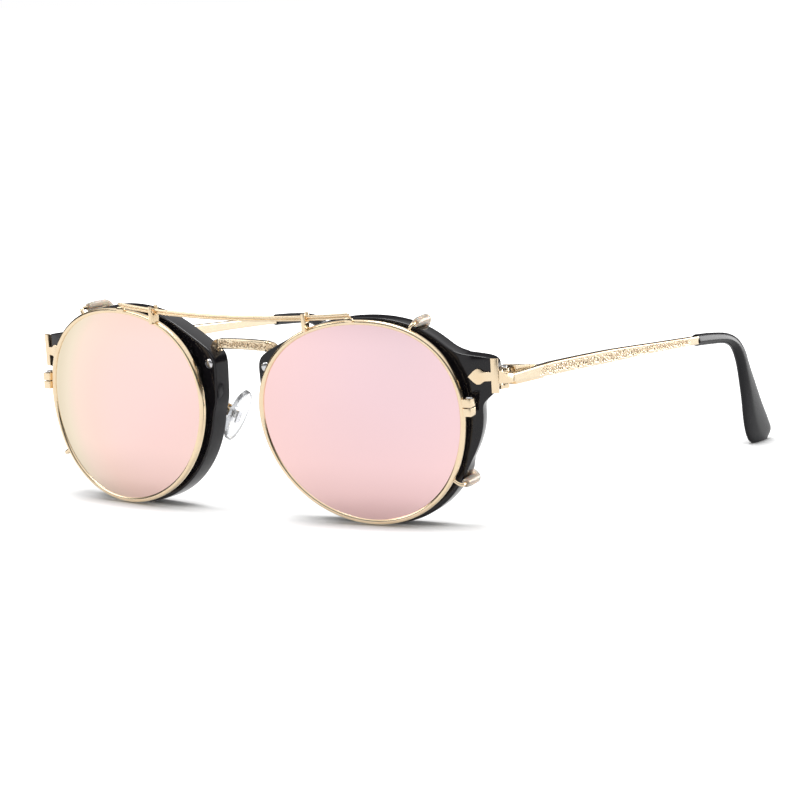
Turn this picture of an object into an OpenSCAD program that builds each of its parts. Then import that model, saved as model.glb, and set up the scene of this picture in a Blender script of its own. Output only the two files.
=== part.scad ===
// Round glasses with metal temples and a hook-on clip of two mirror lenses.
// +X is the wearer's left, the glasses look along -Y, and they stand open on Z = 0.
// A rim is drawn flat as (u, w): u runs from the eye's middle out to the temple, w runs up.

/* [Clear lenses] */
// Width of a clear lens, edge to edge
eye_w = 48; // [46:0.5:50]
// Height of a clear lens, edge to edge
eye_h = 43.3; // [41.5:0.1:45]
// Distance between the middles of the two lenses
eye_spacing = 70.5; // [69.5:0.1:72.5]
// How far the outline leans, as a share of its radius
lean = -0.013; // [-0.02:0.001:0]
// How far the outline draws in towards the nose
nose_draw = -0.016; // [-0.025:0.001:0]
// How far the outline is flattened along the brow
brow_flat = 0.024; // [0:0.001:0.03]
// How far the outline is rounder than a square
square_off = -0.011; // [-0.02:0.001:0]
// Thickness of a clear lens
eye_lens_t = 1.5; // [1.2:0.1:1.6]
// Radius of a clear lens's dome
eye_dome_r = 180; // [160:5:240]

/* [Black front] */
// Angle at which each rim wraps back round the face
wrap = 8; // [6:0.5:9]
// Angle at which each rim leans its top forward
tilt = 3; // [2:0.5:4]
// Gap from the clip's rim back to the black rim
front_gap = 2.35; // [2:0.05:3]
// Depth of a black rim, front to back
rim_d = 4.8; // [4.4:0.1:5.4]
// Width of a black rim outside the clear lens
rim_out = 3.1; // [2.9:0.1:3.4]
// Overlap of the rim in front of and behind a lens's edge
lens_hold = 0.7; // [0.5:0.1:1]
// Width of the groove that holds a clear lens
lens_groove = 2.1; // [2:0.1:2.4]
// Reach of an end piece beyond the lens
end_reach = 9.1; // [8.6:0.1:10]
// Angle at which an end piece bends back from its rim
end_bend = 12; // [8:1:14]
// Swell of the rim where it runs into its end piece
end_swell = 1.9; // [1.4:0.1:2.2]
// Depth of the flat that each rim rests on
rest_cut = 0.3; // [0.2:0.05:0.5]

/* [Bridge] */
// Height of the bridge bar
bridge_h = 2.5; // [2:0.1:3]
// Thickness of the bridge bar, front to back
bridge_t = 2.2; // [1.8:0.1:2.6]
// Height of the bridge bar's middle over the rims' middle
bridge_up = 16.2; // [15.6:0.1:16.8]
// Forward rise of the bridge bar's middle
bridge_arch = 0.9; // [0.5:0.1:1.4]
// Length of a tang inside its rim
tang_l = 5; // [4:0.5:6]
// Thickness of a tang, front to back
tang_t = 1.2; // [1:0.1:1.4]
// Diameter of a bridge rivet's shank
rivet_d = 1.2; // [1:0.1:1.4]
// Diameter of a bridge rivet's head
rivet_head_d = 2.4; // [2:0.1:2.8]

/* [Nose pads] */
// Length of a nose pad
pad_l = 13.5; // [12:0.5:14]
// Width of a nose pad
pad_w = 7.5; // [6.5:0.5:8]
// Thickness of a nose pad
pad_t = 2; // [1.8:0.1:2.4]
// Sideways distance from a rim's end at the nose out to its pad's middle
pad_off_rim = 1.8; // [1.5:0.1:2.3]
// Distance of a pad's middle behind its rim
pad_behind = 5.1; // [4.9:0.1:5.5]
// Height of a pad's middle below the rims' middle
pad_down = 2.6; // [2:0.1:3.2]
// Angle at which a pad's top leans to the nose
pad_lean = 26; // [22:1:28]
// Angle at which a pad faces back
pad_splay = 2; // [0:1:8]
// Diameter of a pad arm's wire
arm_d = 1; // [0.8:0.1:1.2]
// Diameter of a pad's screw
pad_screw_d = 0.9; // [0.8:0.05:1]

/* [Corner plaques] */
// How far a plaque stands proud
plaque_t = 0.55; // [0.4:0.05:0.7]
// Length of a plaque's arrow, up to the crossbar
arrow_l = 5.5; // [5:0.1:6]
// Height of the arrow's head
arrow_h = 3.7; // [3:0.1:4.2]
// Height of a plaque's crossbar
crossbar_h = 8.1; // [7:0.1:8.4]
// Width of the crossbar on the front
crossbar_w = 1.6; // [1.4:0.1:2]
// Diameter of a plaque rivet
plaque_rivet_d = 1; // [0.8:0.1:1.2]

/* [Hinges] */
// Diameter of a hinge barrel
barrel_d = 3; // [2.8:0.1:3.2]
// Height of a hinge barrel
barrel_h = 4.6; // [4.2:0.1:5]
// Height of the middle knuckle
knuckle_h = 1.8; // [1.6:0.1:2]
// Thickness of the hinge leaf's plate
leaf_t = 0.9; // [0.7:0.1:1.1]
// Diameter of a hinge screw
screw_d = 1.4; // [1.2:0.1:1.5]
// Diameter of the sled's shank
shank_d = 1; // [0.8:0.1:1.1]
// Wire of the hinge spring
spring_wire = 0.35; // [0.3:0.05:0.35]
// Turns of the hinge spring
spring_turns = 9; // [7:1:9]
// Length of the hinge spring at rest
spring_l = 7; // [6.8:0.1:7.2]
// Length of a spring box
box_l = 12.7; // [12.4:0.1:14]
// Height of a spring box at its front
box_h = 4.6; // [4.4:0.1:5]

/* [Temples] */
// Length of the metal temple behind the hinge
temple_l = 91.2; // [85:0.2:97]
// Thickness of the metal temple
temple_t = 1.7; // [1.5:0.1:1.9]
// Greatest height of the metal temple
temple_h = 3.2; // [2.8:0.1:3.6]
// How far the temple drops along its length
temple_drop = 3; // [2:0.1:4]
// Diameter of the core wire in a tip
core_d = 1.4; // [1.2:0.1:1.5]
// Length of the core wire inside a tip
core_l = 15; // [10:0.5:16]
// Thickness of a black tip
tip_t = 2.7; // [2.4:0.1:3]
// Reach of a tip behind the metal temple
tip_reach = 42.2; // [40:0.2:44]

/* [Clip] */
// Gap outside the clear lens to the mirror lens's edge
clip_over = 2; // [1.8:0.1:2.2]
// Thickness of a mirror lens
mirror_t = 0.9; // [0.7:0.05:0.95]
// Radius of a mirror lens's dome
mirror_dome_r = 265; // [240:5:320]
// Depth of the groove in the clip's wire
wire_groove = 0.5; // [0.4:0.05:0.6]
// Width of the clip's rim wire, seen from the front
wire_w = 1.3; // [1.2:0.05:1.5]
// Depth of the clip's rim wire
wire_d = 1.7; // [1.6:0.05:1.9]
// Diameter of one strand of the brow bar
strand_d = 0.8; // [0.7:0.05:0.9]
// Bow of the brow bar between its ends
brow_bow = 3; // [2.6:0.1:3.4]
// Width of a brow post
post_w = 1; // [0.8:0.1:1.3]
// Width of a closing block
block_w = 3.1; // [2.8:0.1:3.4]
// Height of a closing block
block_h = 4; // [3.6:0.1:4.4]
// Slot between the halves of a closing block
block_slot = 0.25; // [0.2:0.05:0.4]
// Diameter of a block screw
block_screw_d = 1; // [0.8:0.1:1.2]
// Diameter of a hook's wire
hook_d = 0.9; // [0.8:0.05:1]
// Diameter of a hook's sleeve
sleeve_d = 2.3; // [2:0.1:2.4]
// Direction of the upper hook, up from the temple side
hook_up_at = 59; // [54:1:64]
// Direction of the lower hook, up from the temple side
hook_low_at = -31; // [-36:1:-26]

/* [Hidden] */

RIGHT = -1;
LEFT = 1;
steps = 96;        // points round an outline
far = 150;         // beyond every piece
fit = 0.03;        // radial clearance of a turning fit
seat = 0.05;       // clearance of a piece in its seat
touch = 0.01;      // clearance between faces that lie on each other
round_fn = 40;     // facets of small round parts
dome_fn = 360;     // facets of the lens domes
gold = [0.93, 0.78, 0.52];
silver = [0.8, 0.8, 0.82];
black = [0.08, 0.08, 0.09];
pink = [0.97, 0.76, 0.74];
clear = [0.9, 0.93, 0.95, 0.5];
beige = [0.86, 0.78, 0.68];

// Outlines

// Radius of the lens shape in direction a, before it is scaled to its width and height
function shape_r(a) =
    1 + lean * sin(2 * a) + nose_draw * cos(3 * a) + brow_flat * sin(3 * a) + square_off * cos(4 * a);
function xs(pts) = [for (p = pts) p.x];
function ys(pts) = [for (p = pts) p.y];
function span(v) = max(v) - min(v);
shape = [for (i = [0 : steps - 1]) let (a = 360 * i / steps) shape_r(a) * [cos(a), sin(a)]];
eye = [for (p = shape) [p.x * eye_w / span(xs(shape)), p.y * eye_h / span(ys(shape))]];

// An outline moved outwards by d along its own normals
function grown(pts, d) = [for (i = [0 : len(pts) - 1])
    let (ahead = pts[(i + 1) % len(pts)], back = pts[(i + len(pts) - 1) % len(pts)],
         along = (ahead - back) / norm(ahead - back))
    pts[i] + d * [along.y, -along.x]];

// Distance from the middle to the line through a and b, in direction dir
function line_reach(dir, a, b) =
    let (across = [b.y - a.y, a.x - b.x], side = across * a > 0 ? across : -across)
    side * dir > 0.02 * norm(side) ? side * a / (side * dir) : 1000;
function total(v, i = 0) = i < len(v) ? v[i] + total(v, i + 1) : 0;
function soft_min(v) = pow(total([for (x = v) pow(x, -soft)]), -1 / soft);
function soft_max(v) = pow(total([for (x = v) pow(x, soft)]), 1 / soft);
soft = 24;         // sharpness of the blends between lines

end_u = eye_w / 2 + end_reach;
end_top = 14.7;
end_low = 7;
nose_u = -eye_w / 2 - 5;
function end_piece(dir) = dir.x < 0.15 ? 1 : soft_min([
    line_reach(dir, [end_u, end_top], [end_u - 10, end_top + 1.2]),
    line_reach(dir, [end_u, 0], [end_u, 10]),
    line_reach(dir, [end_u, end_low], [end_u - 2.7, end_low - 1.8])]);
function nose_ledge(dir) = dir.x > -0.15 ? 1 : soft_min([
    line_reach(dir, [nose_u + 7, 17.4], [nose_u + 0.2, 13.6]),
    line_reach(dir, [nose_u + 7.5, 18], [nose_u + 17.5, 20]),
    line_reach(dir, [nose_u, 13.5], [nose_u + 1.4, 0]),
    line_reach(dir, [nose_u + 1, 1], [nose_u + 5, -2])]);
rim_shift = [0.5, -0.4];
swell_at = 2;      // direction of the swell
swell_half = 32;   // half the angle that it covers
front_edge = [for (p = grown(eye, rim_out))
    let (q = p + rim_shift, r = norm(q), dir = q / r, off = abs(atan2(dir.y, dir.x) - swell_at),
         swell = off < swell_half ? end_swell * pow(cos(90 * off / swell_half), 2) : 0)
    dir * soft_max([r + swell, end_piece(dir), nose_ledge(dir)])];

clip_lens_edge = grown(eye, clip_over);
clip_in = grown(eye, clip_over - wire_groove);
clip_out = grown(eye, clip_over - wire_groove + wire_w);

// Radius of an outline in direction a
function cross2(p, q) = p.x * q.y - p.y * q.x;
function radius_at(pts, a) =
    let (dir = [cos(a), sin(a)])
    max([for (i = [0 : len(pts) - 1])
        let (p = pts[i], q = pts[(i + 1) % len(pts)])
        cross2(dir, p) <= 0 && cross2(dir, q) > 0 && dir * p > 0 ? cross2(p, q) / cross2(dir, q - p) : 0]);

// Places

clip_back = wire_d / 2;
rim_front = clip_back + front_gap;
rim_back = rim_front + rim_d;
rim_mid = (rim_front + rim_back) / 2;
eye_x = eye_spacing / 2;
eye_z = -min(ys(front_edge)) * cos(tilt) - rim_front * sin(tilt) - rest_cut;

// An end piece bends back in a few flat steps, each turned about its own edge on the front face
bend_from = eye_w / 2 + 0.4;
bend_l = 1.5;
bend_steps = 3;
bend_step = bend_l / bend_steps;
function bend_way(k) = k < bend_steps ? end_bend * (k + 0.5) / bend_steps : end_bend;
// Where step k starts on the front face, in (u, depth)
function bend_at(k) =
    let (ways = [for (i = [0 : 1 : k - 1]) bend_way(i)])
    [bend_from, rim_front] + bend_step * [total([for (a = ways) cos(a)]), total([for (a = ways) sin(a)])];

// World place of the point at (u, w) and depth d of the left rim
function place(u, d, w) =
    let (q = d * cos(tilt) - w * sin(tilt))
    [eye_x + u * cos(wrap) - q * sin(wrap), u * sin(wrap) + q * cos(wrap),
     eye_z + d * sin(tilt) + w * cos(tilt)];
// The same turned round: [u, d, w] of a world point
function unplace(p) =
    let (dx = p.x - eye_x, dz = p.z - eye_z,
         u = dx * cos(wrap) + p.y * sin(wrap), q = p.y * cos(wrap) - dx * sin(wrap))
    [u, q * cos(tilt) + dz * sin(tilt), dz * cos(tilt) - q * sin(tilt)];

// World place of a point of the left end piece, drawn as if it weren't bent
function end_place(u, d, w) =
    let (at = bend_at(bend_steps), a = u - bend_from - bend_l, b = d - rim_front)
    place(at.x + a * cos(end_bend) - b * sin(end_bend), at.y + a * sin(end_bend) + b * cos(end_bend), w);

hinge_w = 8.65;
hinge_in = 0.5;
hinge_behind = 2.75;
hinge = end_place(end_u - hinge_in, rim_back + hinge_behind, hinge_w);
temple_gap = 0.25;
temple_in = barrel_d / 2 + temple_gap;
temple_start = -0.6;
temple_rise = 0.25;
function temple_z(y) = temple_rise - temple_drop * pow(max(y, 0) / temple_l, 1.6);
// Half heights of the metal temple, as shares of its greatest height, along a temple of 92.4 mm
temple_half_l = 92.4;
temple_half = [[-0.6, 0.31], [5.4, 0.36], [17.4, 0.5], [45.4, 0.5], [70.4, 0.38], [92.4, 0.34]];
function temple_edge(y, sign) =
    [y, temple_z(y) + sign * temple_h * lookup(y * temple_half_l / temple_l, temple_half)];
tip_z = temple_z(temple_l);
tip_top = hinge.z + tip_z;
tip_x = temple_in + temple_t / 2 - 0.1;

brow_end_at = 93.7;
brow_over = 1.1;
brow_plane = 30;   // angle of the brow bar's plane below level
brow_r_end = radius_at(clip_out, brow_end_at) + brow_over;
brow_end = place(brow_r_end * cos(brow_end_at), -1.1, brow_r_end * sin(brow_end_at));
brow_r = (brow_end.x * brow_end.x + brow_bow * brow_bow) / (2 * brow_bow);
brow_half = asin(brow_end.x / brow_r);
brow_c = [0, brow_end.y + (brow_r - brow_bow) * cos(brow_plane),
    brow_end.z + (brow_r - brow_bow) * sin(brow_plane)];
// Middle of the brow bar at sideways distance x
function brow_at(x) =
    let (reach = sqrt(brow_r * brow_r - x * x))
    [x, brow_c.y - reach * cos(brow_plane), brow_c.z - reach * sin(brow_plane)];

front_y = brow_at(0).y - strand_d / 2;
rear_y = hinge.y + temple_l + tip_reach;
mid_y = (front_y + rear_y) / 2;

// Places everything so that the origin is on the ground under the middle
module stand() translate([0, -mid_y, 0]) children();
// Draws a left piece on its own side, or mirrored on the right
module on_side(side) stand() mirror([side == RIGHT ? 1 : 0, 0, 0]) children();
// Draws in the left rim's own frame: X is u, Y is depth, Z is w
module on_rim(side)
    on_side(side) translate([eye_x, 0, eye_z]) rotate([0, 0, wrap]) rotate([tilt, 0, 0]) children();
// Draws step k of the bend, or the end piece behind it, as if it weren't bent
module in_bend(k)
    translate([bend_at(k).x, bend_at(k).y, 0]) rotate([0, 0, bend_way(k)])
        translate([-bend_from - k * bend_step, -rim_front, 0]) children();
// Draws in the left end piece's own frame
module on_end(side) on_rim(side) in_bend(bend_steps) children();
// Draws from the left hinge's middle, Y back along the temple
module on_hinge(side) on_side(side) translate(hinge) children();

// A flat outline in (u, w) from depth d0 to d1
module slab(pts, d0, d1)
    translate([0, d1, 0]) rotate([90, 0, 0]) linear_extrude(d1 - d0) polygon(pts);
// The same, bent back where its rim runs into the end piece
module bent_slab(pts, d0, d1) {
    intersection() {
        slab(pts, d0, d1);
        block([-far, -far, -far], [bend_from, far, far]);
    }
    for (k = [0 : bend_steps]) in_bend(k) intersection() {
        slab(pts, d0, d1);
        block([bend_from + k * bend_step, -far, -far],
              [k < bend_steps ? bend_from + (k + 1) * bend_step : far, far, far]);
    }
}
// A round bar along depth
module peg(u, w, d0, d1, d, fn = round_fn)
    translate([u, d0, w]) rotate([-90, 0, 0]) cylinder(d = d, h = d1 - d0, $fn = fn);
// A block from corner a to corner b
module block(a, b) translate(a) cube(b - a);
// An outline in (Y, Z) from x0 to x1
module side_plate(pts, x0, x1)
    translate([x0, 0, 0]) rotate([90, 0, 90]) linear_extrude(x1 - x0) polygon(pts);
// A domed shell whose front reaches depth d0
module dome(r, t, d0)
    translate([0, d0 + r, 0]) difference() {
        sphere(r = r, $fn = dome_fn);
        sphere(r = r - t, $fn = dome_fn);
    }

// Tubes

function unit(v) = v / norm(v);
function ring_frame(path, i, up) =
    let (n = len(path), t = unit(path[min(i + 1, n - 1)] - path[max(i - 1, 0)]), a = unit(cross(up, t)))
    [a, cross(t, a)];
function ring_at(path, i, up, r, sides) =
    let (f = ring_frame(path, i, up))
    [for (k = [0 : sides - 1]) path[i] + r * (cos(360 * k / sides) * f[0] + sin(360 * k / sides) * f[1])];
// Two triangles between rings that start at points a and b, turned over for an inner wall
function band(a, b, k, sides, inner = false) =
    let (m = (k + 1) % sides, quad = [[a + k, b + k, b + m], [a + k, b + m, a + m]])
    inner ? [for (f = quad) [f[2], f[1], f[0]]] : quad;
// A round tube along path, seen square to up; radii holds one radius for each point
module tube(path, radii, up, sides = 8) {
    n = len(path);
    points = [for (i = [0 : n - 1]) each ring_at(path, i, up, radii[i], sides)];
    walls = [for (i = [0 : n - 2], k = [0 : sides - 1]) each band(i * sides, (i + 1) * sides, k, sides)];
    start = [for (k = [1 : sides - 2]) [0, k, k + 1]];
    last = (n - 1) * sides;
    finish = [for (k = [1 : sides - 2]) [last, last + k + 1, last + k]];
    polyhedron(points, concat(walls, start, finish));
}
// The same with a bore through it
module sleeve_tube(path, r, bore_r, up, sides = 10) {
    n = len(path);
    outer = [for (i = [0 : n - 1]) each ring_at(path, i, up, r, sides)];
    inner = [for (i = [0 : n - 1]) each ring_at(path, i, up, bore_r, sides)];
    in0 = n * sides;
    last = (n - 1) * sides;
    walls = [for (i = [0 : n - 2], k = [0 : sides - 1])
        each concat(band(i * sides, (i + 1) * sides, k, sides),
                    band(in0 + i * sides, in0 + (i + 1) * sides, k, sides, true))];
    ends = [for (k = [0 : sides - 1]) each concat(band(in0, 0, k, sides), band(last, in0 + last, k, sides))];
    polyhedron(concat(outer, inner), concat(walls, ends));
}

// Black front

groove_half = lens_groove / 2;
foot_u = [nose_u + 1.3, nose_u + 3.8];
foot_down = 1;     // top of a foot below the bar's middle
tang_mid = rim_mid + 0.9;
rivet_end = tang_mid + tang_t / 2;
rivet_at = [nose_u + 2.3, 11.2];
tang_low = rivet_at.y - tang_l / 2 + 0.4;
tang_u = [rivet_at.x - 1.1, rivet_at.x + 1.1];
plaque_rivet_u = [end_u - 4.2, end_u - 1.1];
plaque_rivet_w = 10.6;

module tang_space(gap)
    block([tang_u[0] - gap, tang_mid - tang_t / 2 - gap, tang_low - gap],
          [tang_u[1] + gap, tang_mid + tang_t / 2 + gap, rivet_at.y + 5]);

module rim(side) color(black)
    difference() {
        on_rim(side) difference() {
            bent_slab(front_edge, rim_front, rim_back);
            slab(grown(eye, -lens_hold), rim_front - 1, rim_back + 1);
            slab(grown(eye, seat), rim_mid - groove_half, rim_mid + groove_half);
            tang_space(seat);
            peg(rivet_at.x, rivet_at.y, rim_front - 1, rivet_end + seat, rivet_d + 2 * seat);
            for (u = plaque_rivet_u)
                in_bend(bend_steps)
                    peg(u, plaque_rivet_w, rim_front - 1, rim_back + 1, plaque_rivet_d + 2 * seat);
        }
        block([-far, -far, -far], [far, far, 0]);
    }

module clear_lens(side) color(clear)
    on_rim(side) intersection() {
        slab(eye, rim_front - 2, rim_back + 2);
        dome(eye_dome_r, eye_lens_t, rim_mid - eye_lens_t / 2 - pow(eye_w + eye_h, 2) / 32 / eye_dome_r);
    }

// Bridge

bridge_z = eye_z + bridge_up;
bridge_back = place(foot_u[1], tang_mid, rivet_at.y).y;
bar_half = place(foot_u[1], tang_mid, rivet_at.y + 4).x;
bridge_r = pow(bar_half, 2) / 2 / bridge_arch;
bar_sag = 0.5;     // fall of the bar's ends below its middle
bar_round = 1.7;   // radius of the top corner at each end
bar_steps = 20;
bar_xs = [for (i = [0 : bar_steps]) -bar_half * cos(180 * i / bar_steps)];
function bar_mid(x) = -bar_sag * pow(x / bar_half, 2);
function bar_top(x) =
    let (past = max(abs(x) - bar_half + bar_round, 0))
    bar_mid(x) + bridge_h / 2 - bar_round + sqrt(max(pow(bar_round, 2) - pow(past, 2), 0));

module bridge() color(gold)
    difference() {
        union() {
            stand() intersection() {
                translate([0, bridge_back + 5, bridge_z]) rotate([90, 0, 0]) linear_extrude(10)
                    polygon(concat([for (x = bar_xs) [x, bar_top(x)]],
                        [for (i = [bar_steps : -1 : 0]) [bar_xs[i], bar_mid(bar_xs[i]) - bridge_h / 2]]));
                translate([0, bridge_back + bridge_r - bridge_arch, bridge_z - 5]) difference() {
                    cylinder(r = bridge_r + bridge_t / 2, h = 10, $fn = dome_fn);
                    translate([0, 0, -1]) cylinder(r = bridge_r - bridge_t / 2, h = 12, $fn = dome_fn);
                }
            }
            for (side = [RIGHT, LEFT]) on_rim(side) {
                block([foot_u[0], tang_mid - bridge_t / 2, rivet_at.y],
                      [foot_u[1], tang_mid + bridge_t / 2, bridge_up - foot_down]);
                block([tang_u[0], tang_mid - tang_t / 2, tang_low],
                      [tang_u[1], tang_mid + tang_t / 2, rivet_at.y + 3]);
            }
        }
        for (side = [RIGHT, LEFT]) on_rim(side) {
            difference() {
                slab(grown(front_edge, touch), rim_front - 1, rim_back + 1);
                tang_space(0);
            }
            peg(rivet_at.x, rivet_at.y, rim_front - 1, rim_back, rivet_d + 2 * seat);
        }
    }

module bridge_rivet(side) color(silver)
    on_rim(side) {
        peg(rivet_at.x, rivet_at.y, rim_front - 0.4, rim_front - touch, rivet_head_d);
        peg(rivet_at.x, rivet_at.y, rim_front - 0.2, rivet_end, rivet_d);
    }

// Nose pads

pad_back = 0.9;
pad_pivot = 2.3;
boss_r = 0.95;
boss_half = 0.65;
cheek_in = 0.75;
cheek_out = 1.25;
cheek_r = 1.05;
web_from = pad_pivot + 1.1;
web_to = web_from + 0.7;
arm_foot_at = [nose_u + 4.2, -0.5];
arm_foot_t = 0.5;
arm_foot_d = 2.4;

pad_mid = [eye_x + nose_u * cos(wrap) + pad_off_rim,
    nose_u * sin(wrap) + rim_back * cos(wrap) + pad_behind, eye_z - pad_down];
// Draws in the left pad's frame: X away from the nose, Y across, Z up along the pad
module on_pad(side)
    on_side(side) translate(pad_mid) rotate([0, 0, -pad_splay])
        rotate([0, -pad_lean, 0]) children();
// World place of a point x away from the pad's middle, along the pad's own normal
function off_pad(x) = pad_mid
    + x * [cos(pad_lean) * cos(pad_splay), -cos(pad_lean) * sin(pad_splay), sin(pad_lean)];
module across(y0, y1, x, d)
    translate([x, y0, 0]) rotate([-90, 0, 0]) cylinder(d = d, h = y1 - y0, $fn = round_fn);
pad_edge = [for (i = [0 : 47]) let (a = 7.5 * i)
    [pad_w / 2 * cos(a), pad_l / 2 * sin(a) * (1 + 0.06 * cos(a))]];
pad_crown_r = 22;

module nose_pad(side) color(clear)
    on_pad(side) difference() {
        union() {
            intersection() {
                translate([-pad_t, 0, 0]) rotate([90, 0, 90]) linear_extrude(2 * pad_t) polygon(pad_edge);
                translate([pad_back - pad_t + pad_crown_r, 0, 0]) sphere(r = pad_crown_r, $fn = 180);
                translate([pad_back - pad_crown_r, 0, 0]) sphere(r = pad_crown_r, $fn = 180);
            }
            across(-boss_half, boss_half, pad_pivot, 2 * boss_r);
            block([0, -boss_half, -0.7], [pad_pivot, boss_half, 0.7]);
        }
        across(-2, 2, pad_pivot, pad_screw_d + 2 * fit);
    }

module pad_arm(side) color(gold) {
    foot = place(arm_foot_at.x, rim_back + 0.3, arm_foot_at.y);
    web = off_pad(web_to - 0.2);
    p = [foot, foot + [0.5, 2.2, 1.2], web + [2.5, -0.3, 2], web];
    route = [for (i = [0 : 14]) let (t = i / 14, s = 1 - t)
        s * s * s * p[0] + 3 * s * s * t * p[1] + 3 * s * t * t * p[2] + t * t * t * p[3]];
    on_side(side) tube(route, [for (q = route) arm_d / 2], [0, 1, 0]);
    on_rim(side) peg(arm_foot_at.x, arm_foot_at.y, rim_back + touch, rim_back + arm_foot_t, arm_foot_d);
    on_pad(side) difference() {
        union() {
            for (y = [-cheek_out, cheek_in]) {
                across(y, y + cheek_out - cheek_in, pad_pivot, 2 * cheek_r);
                block([pad_pivot, y, -cheek_r], [web_from + 0.1, y + cheek_out - cheek_in, cheek_r]);
            }
            block([web_from, -cheek_out, -cheek_r], [web_to, cheek_out, cheek_r]);
        }
        across(-2, 2, pad_pivot, pad_screw_d + 2 * touch);
    }
}

module pad_screw(side) color(silver)
    on_pad(side) {
        across(-cheek_out, cheek_out + 0.1, pad_pivot, pad_screw_d);
        across(cheek_out + touch, cheek_out + 0.4, pad_pivot, 1.5);
    }

// Corner plaques

arrow_tip = end_u - crossbar_w - arrow_l;
arrow_w = 10.5;
neck_half = 1;
arrow_root = end_u - crossbar_w + 0.2;
barb = [for (p = [[0, 0], [0.11, 0.34], [0.24, 0.72], [0.36, 0.96], [0.44, 1], [0.54, 0.93], [0.62, 0.76],
        [0.7, 0.6]]) [arrow_tip + p.x * arrow_l, p.y * arrow_h / 2]];
// Once round the arrow: its upper edge from the tip, and its lower edge back to the tip
arrow_side = concat(barb, [[arrow_root, neck_half]]);
arrow = concat([for (p = arrow_side) [p.x, arrow_w + p.y]],
    [for (i = [len(arrow_side) - 1 : -1 : 1]) [arrow_side[i].x, arrow_w - arrow_side[i].y]]);
bar_c = 10.65;
bar_over = 0.1;    // how far the crossbar stands out past the end piece
strap_gap = 0.3;   // between the strap's end and the temple's
strap_in = 0.15;   // how much thinner the strap is than the temple
strap_front = end_place(end_u, rim_front - plaque_t / 2, bar_c) - hinge;
strap = [[strap_front.y, -0.2], [strap_front.y / 2, -0.6], [temple_start - strap_gap, temple_edge(0, -1).y],
    [temple_start - strap_gap, temple_edge(0, 1).y], [strap_front.y / 2, 1.85], [strap_front.y, 2.8]];

module corner_plaque(side) color(gold)
    difference() {
        union() {
            on_end(side) {
                slab(arrow, rim_front - plaque_t, rim_front - touch);
                block([end_u - crossbar_w, rim_front - plaque_t, bar_c - crossbar_h / 2],
                      [end_u + bar_over, rim_front + 0.2, bar_c + crossbar_h / 2]);
            }
            on_hinge(side) side_plate(strap, temple_in + strap_in, temple_in + temple_t);
        }
        on_rim(side) bent_slab(grown(front_edge, touch), rim_front - touch, rim_back + touch);
        on_end(side) for (u = plaque_rivet_u)
            peg(u, plaque_rivet_w, rim_front - 0.3, rim_front + 1, plaque_rivet_d + 2 * touch);
    }

module plaque_rivets(side) color(gold)
    on_end(side) for (u = plaque_rivet_u)
        peg(u, plaque_rivet_w, rim_front - 0.3 + touch, rim_back + leaf_t + 0.25, plaque_rivet_d);

// Hinges

leaf_u = [end_u - 5, end_u - 0.3];
leaf_w = [7, 11.6];

module hinge_leaf(side) color(gold)
    difference() {
        union() {
            on_end(side)
                block([leaf_u[0], rim_back + touch, leaf_w[0]], [leaf_u[1], rim_back + leaf_t, leaf_w[1]]);
            on_hinge(side) for (z = [-barrel_h / 2, knuckle_h / 2 + seat]) {
                knuckle = (barrel_h - knuckle_h) / 2 - seat;
                translate([0, 0, z]) cylinder(d = barrel_d, h = knuckle, $fn = round_fn);
                block([-1.1, -hinge_behind, z], [1.1, 0, z + knuckle]);
            }
        }
        on_hinge(side) translate([0, 0, -barrel_h])
            cylinder(d = screw_d + 2 * touch, h = 2 * barrel_h, $fn = round_fn);
        on_rim(side) bent_slab(grown(front_edge, touch), rim_front, rim_back + touch);
        on_end(side) for (u = plaque_rivet_u)
            peg(u, plaque_rivet_w, rim_back, rim_back + 2, plaque_rivet_d + 2 * touch);
    }

module hinge_screw(side) color(silver)
    on_hinge(side) {
        translate([0, 0, -barrel_h / 2]) cylinder(d = screw_d, h = barrel_h + 0.1, $fn = round_fn);
        translate([0, 0, barrel_h / 2 + touch]) cylinder(d = screw_d + 0.8, h = 0.6, $fn = round_fn);
    }

box_from = 3;
box_wall = 1;
arm_end = box_from - 0.1;
spring_from = box_from + box_wall + 0.02;
head_from = spring_from + spring_l + 0.02;
head_l = 0.8;
cavity_d = 2.3;
cavity_end = head_from + head_l + 0.5;
spring_r = 0.8;
box_top = [2.7, 1.1];
// A round bar along Y
module along(y0, y1, d)
    translate([0, y0, 0]) rotate([-90, 0, 0]) cylinder(d = d, h = y1 - y0, $fn = round_fn);

module hinge_sled(side) color(silver)
    on_hinge(side) difference() {
        union() {
            translate([0, 0, -knuckle_h / 2]) cylinder(d = barrel_d, h = knuckle_h, $fn = round_fn);
            block([-0.65, 0, -knuckle_h / 2], [0.65, arm_end, knuckle_h / 2]);
            along(arm_end - 0.1, head_from + 0.1, shank_d);
            along(head_from, head_from + head_l, 2);
        }
        translate([0, 0, -2]) cylinder(d = screw_d + 2 * fit, h = 4, $fn = round_fn);
    }

module hinge_spring(side) color(silver) {
    rings = spring_turns * 10;
    lift = spring_l - spring_wire;
    route = [for (i = [0 : rings]) let (a = 36 * i)
        [spring_r * cos(a), spring_from + spring_wire / 2 + lift * i / rings, spring_r * sin(a)]];
    on_hinge(side) tube(route, [for (p = route) spring_wire / 2], [0, 1, 0], 6);
}

module spring_box(side) color(gold)
    on_hinge(side) difference() {
        side_plate([[box_from, box_top[0]], [box_from, box_top[0] - box_h],
            [box_from + box_l, box_top[0] - box_h - 0.2], [box_from + box_l, box_top[1]]],
            -temple_in, temple_in - touch);
        along(box_from + box_wall, cavity_end, cavity_d);
        along(box_from - 1, box_from + box_wall + 0.5, shank_d + 0.1);
    }

// Temples

temple_ys = [for (i = [0 : 24]) temple_start + (temple_l - temple_start) * i / 24];
tip_slope = atan2(temple_drop * 1.6, temple_l);

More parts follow.
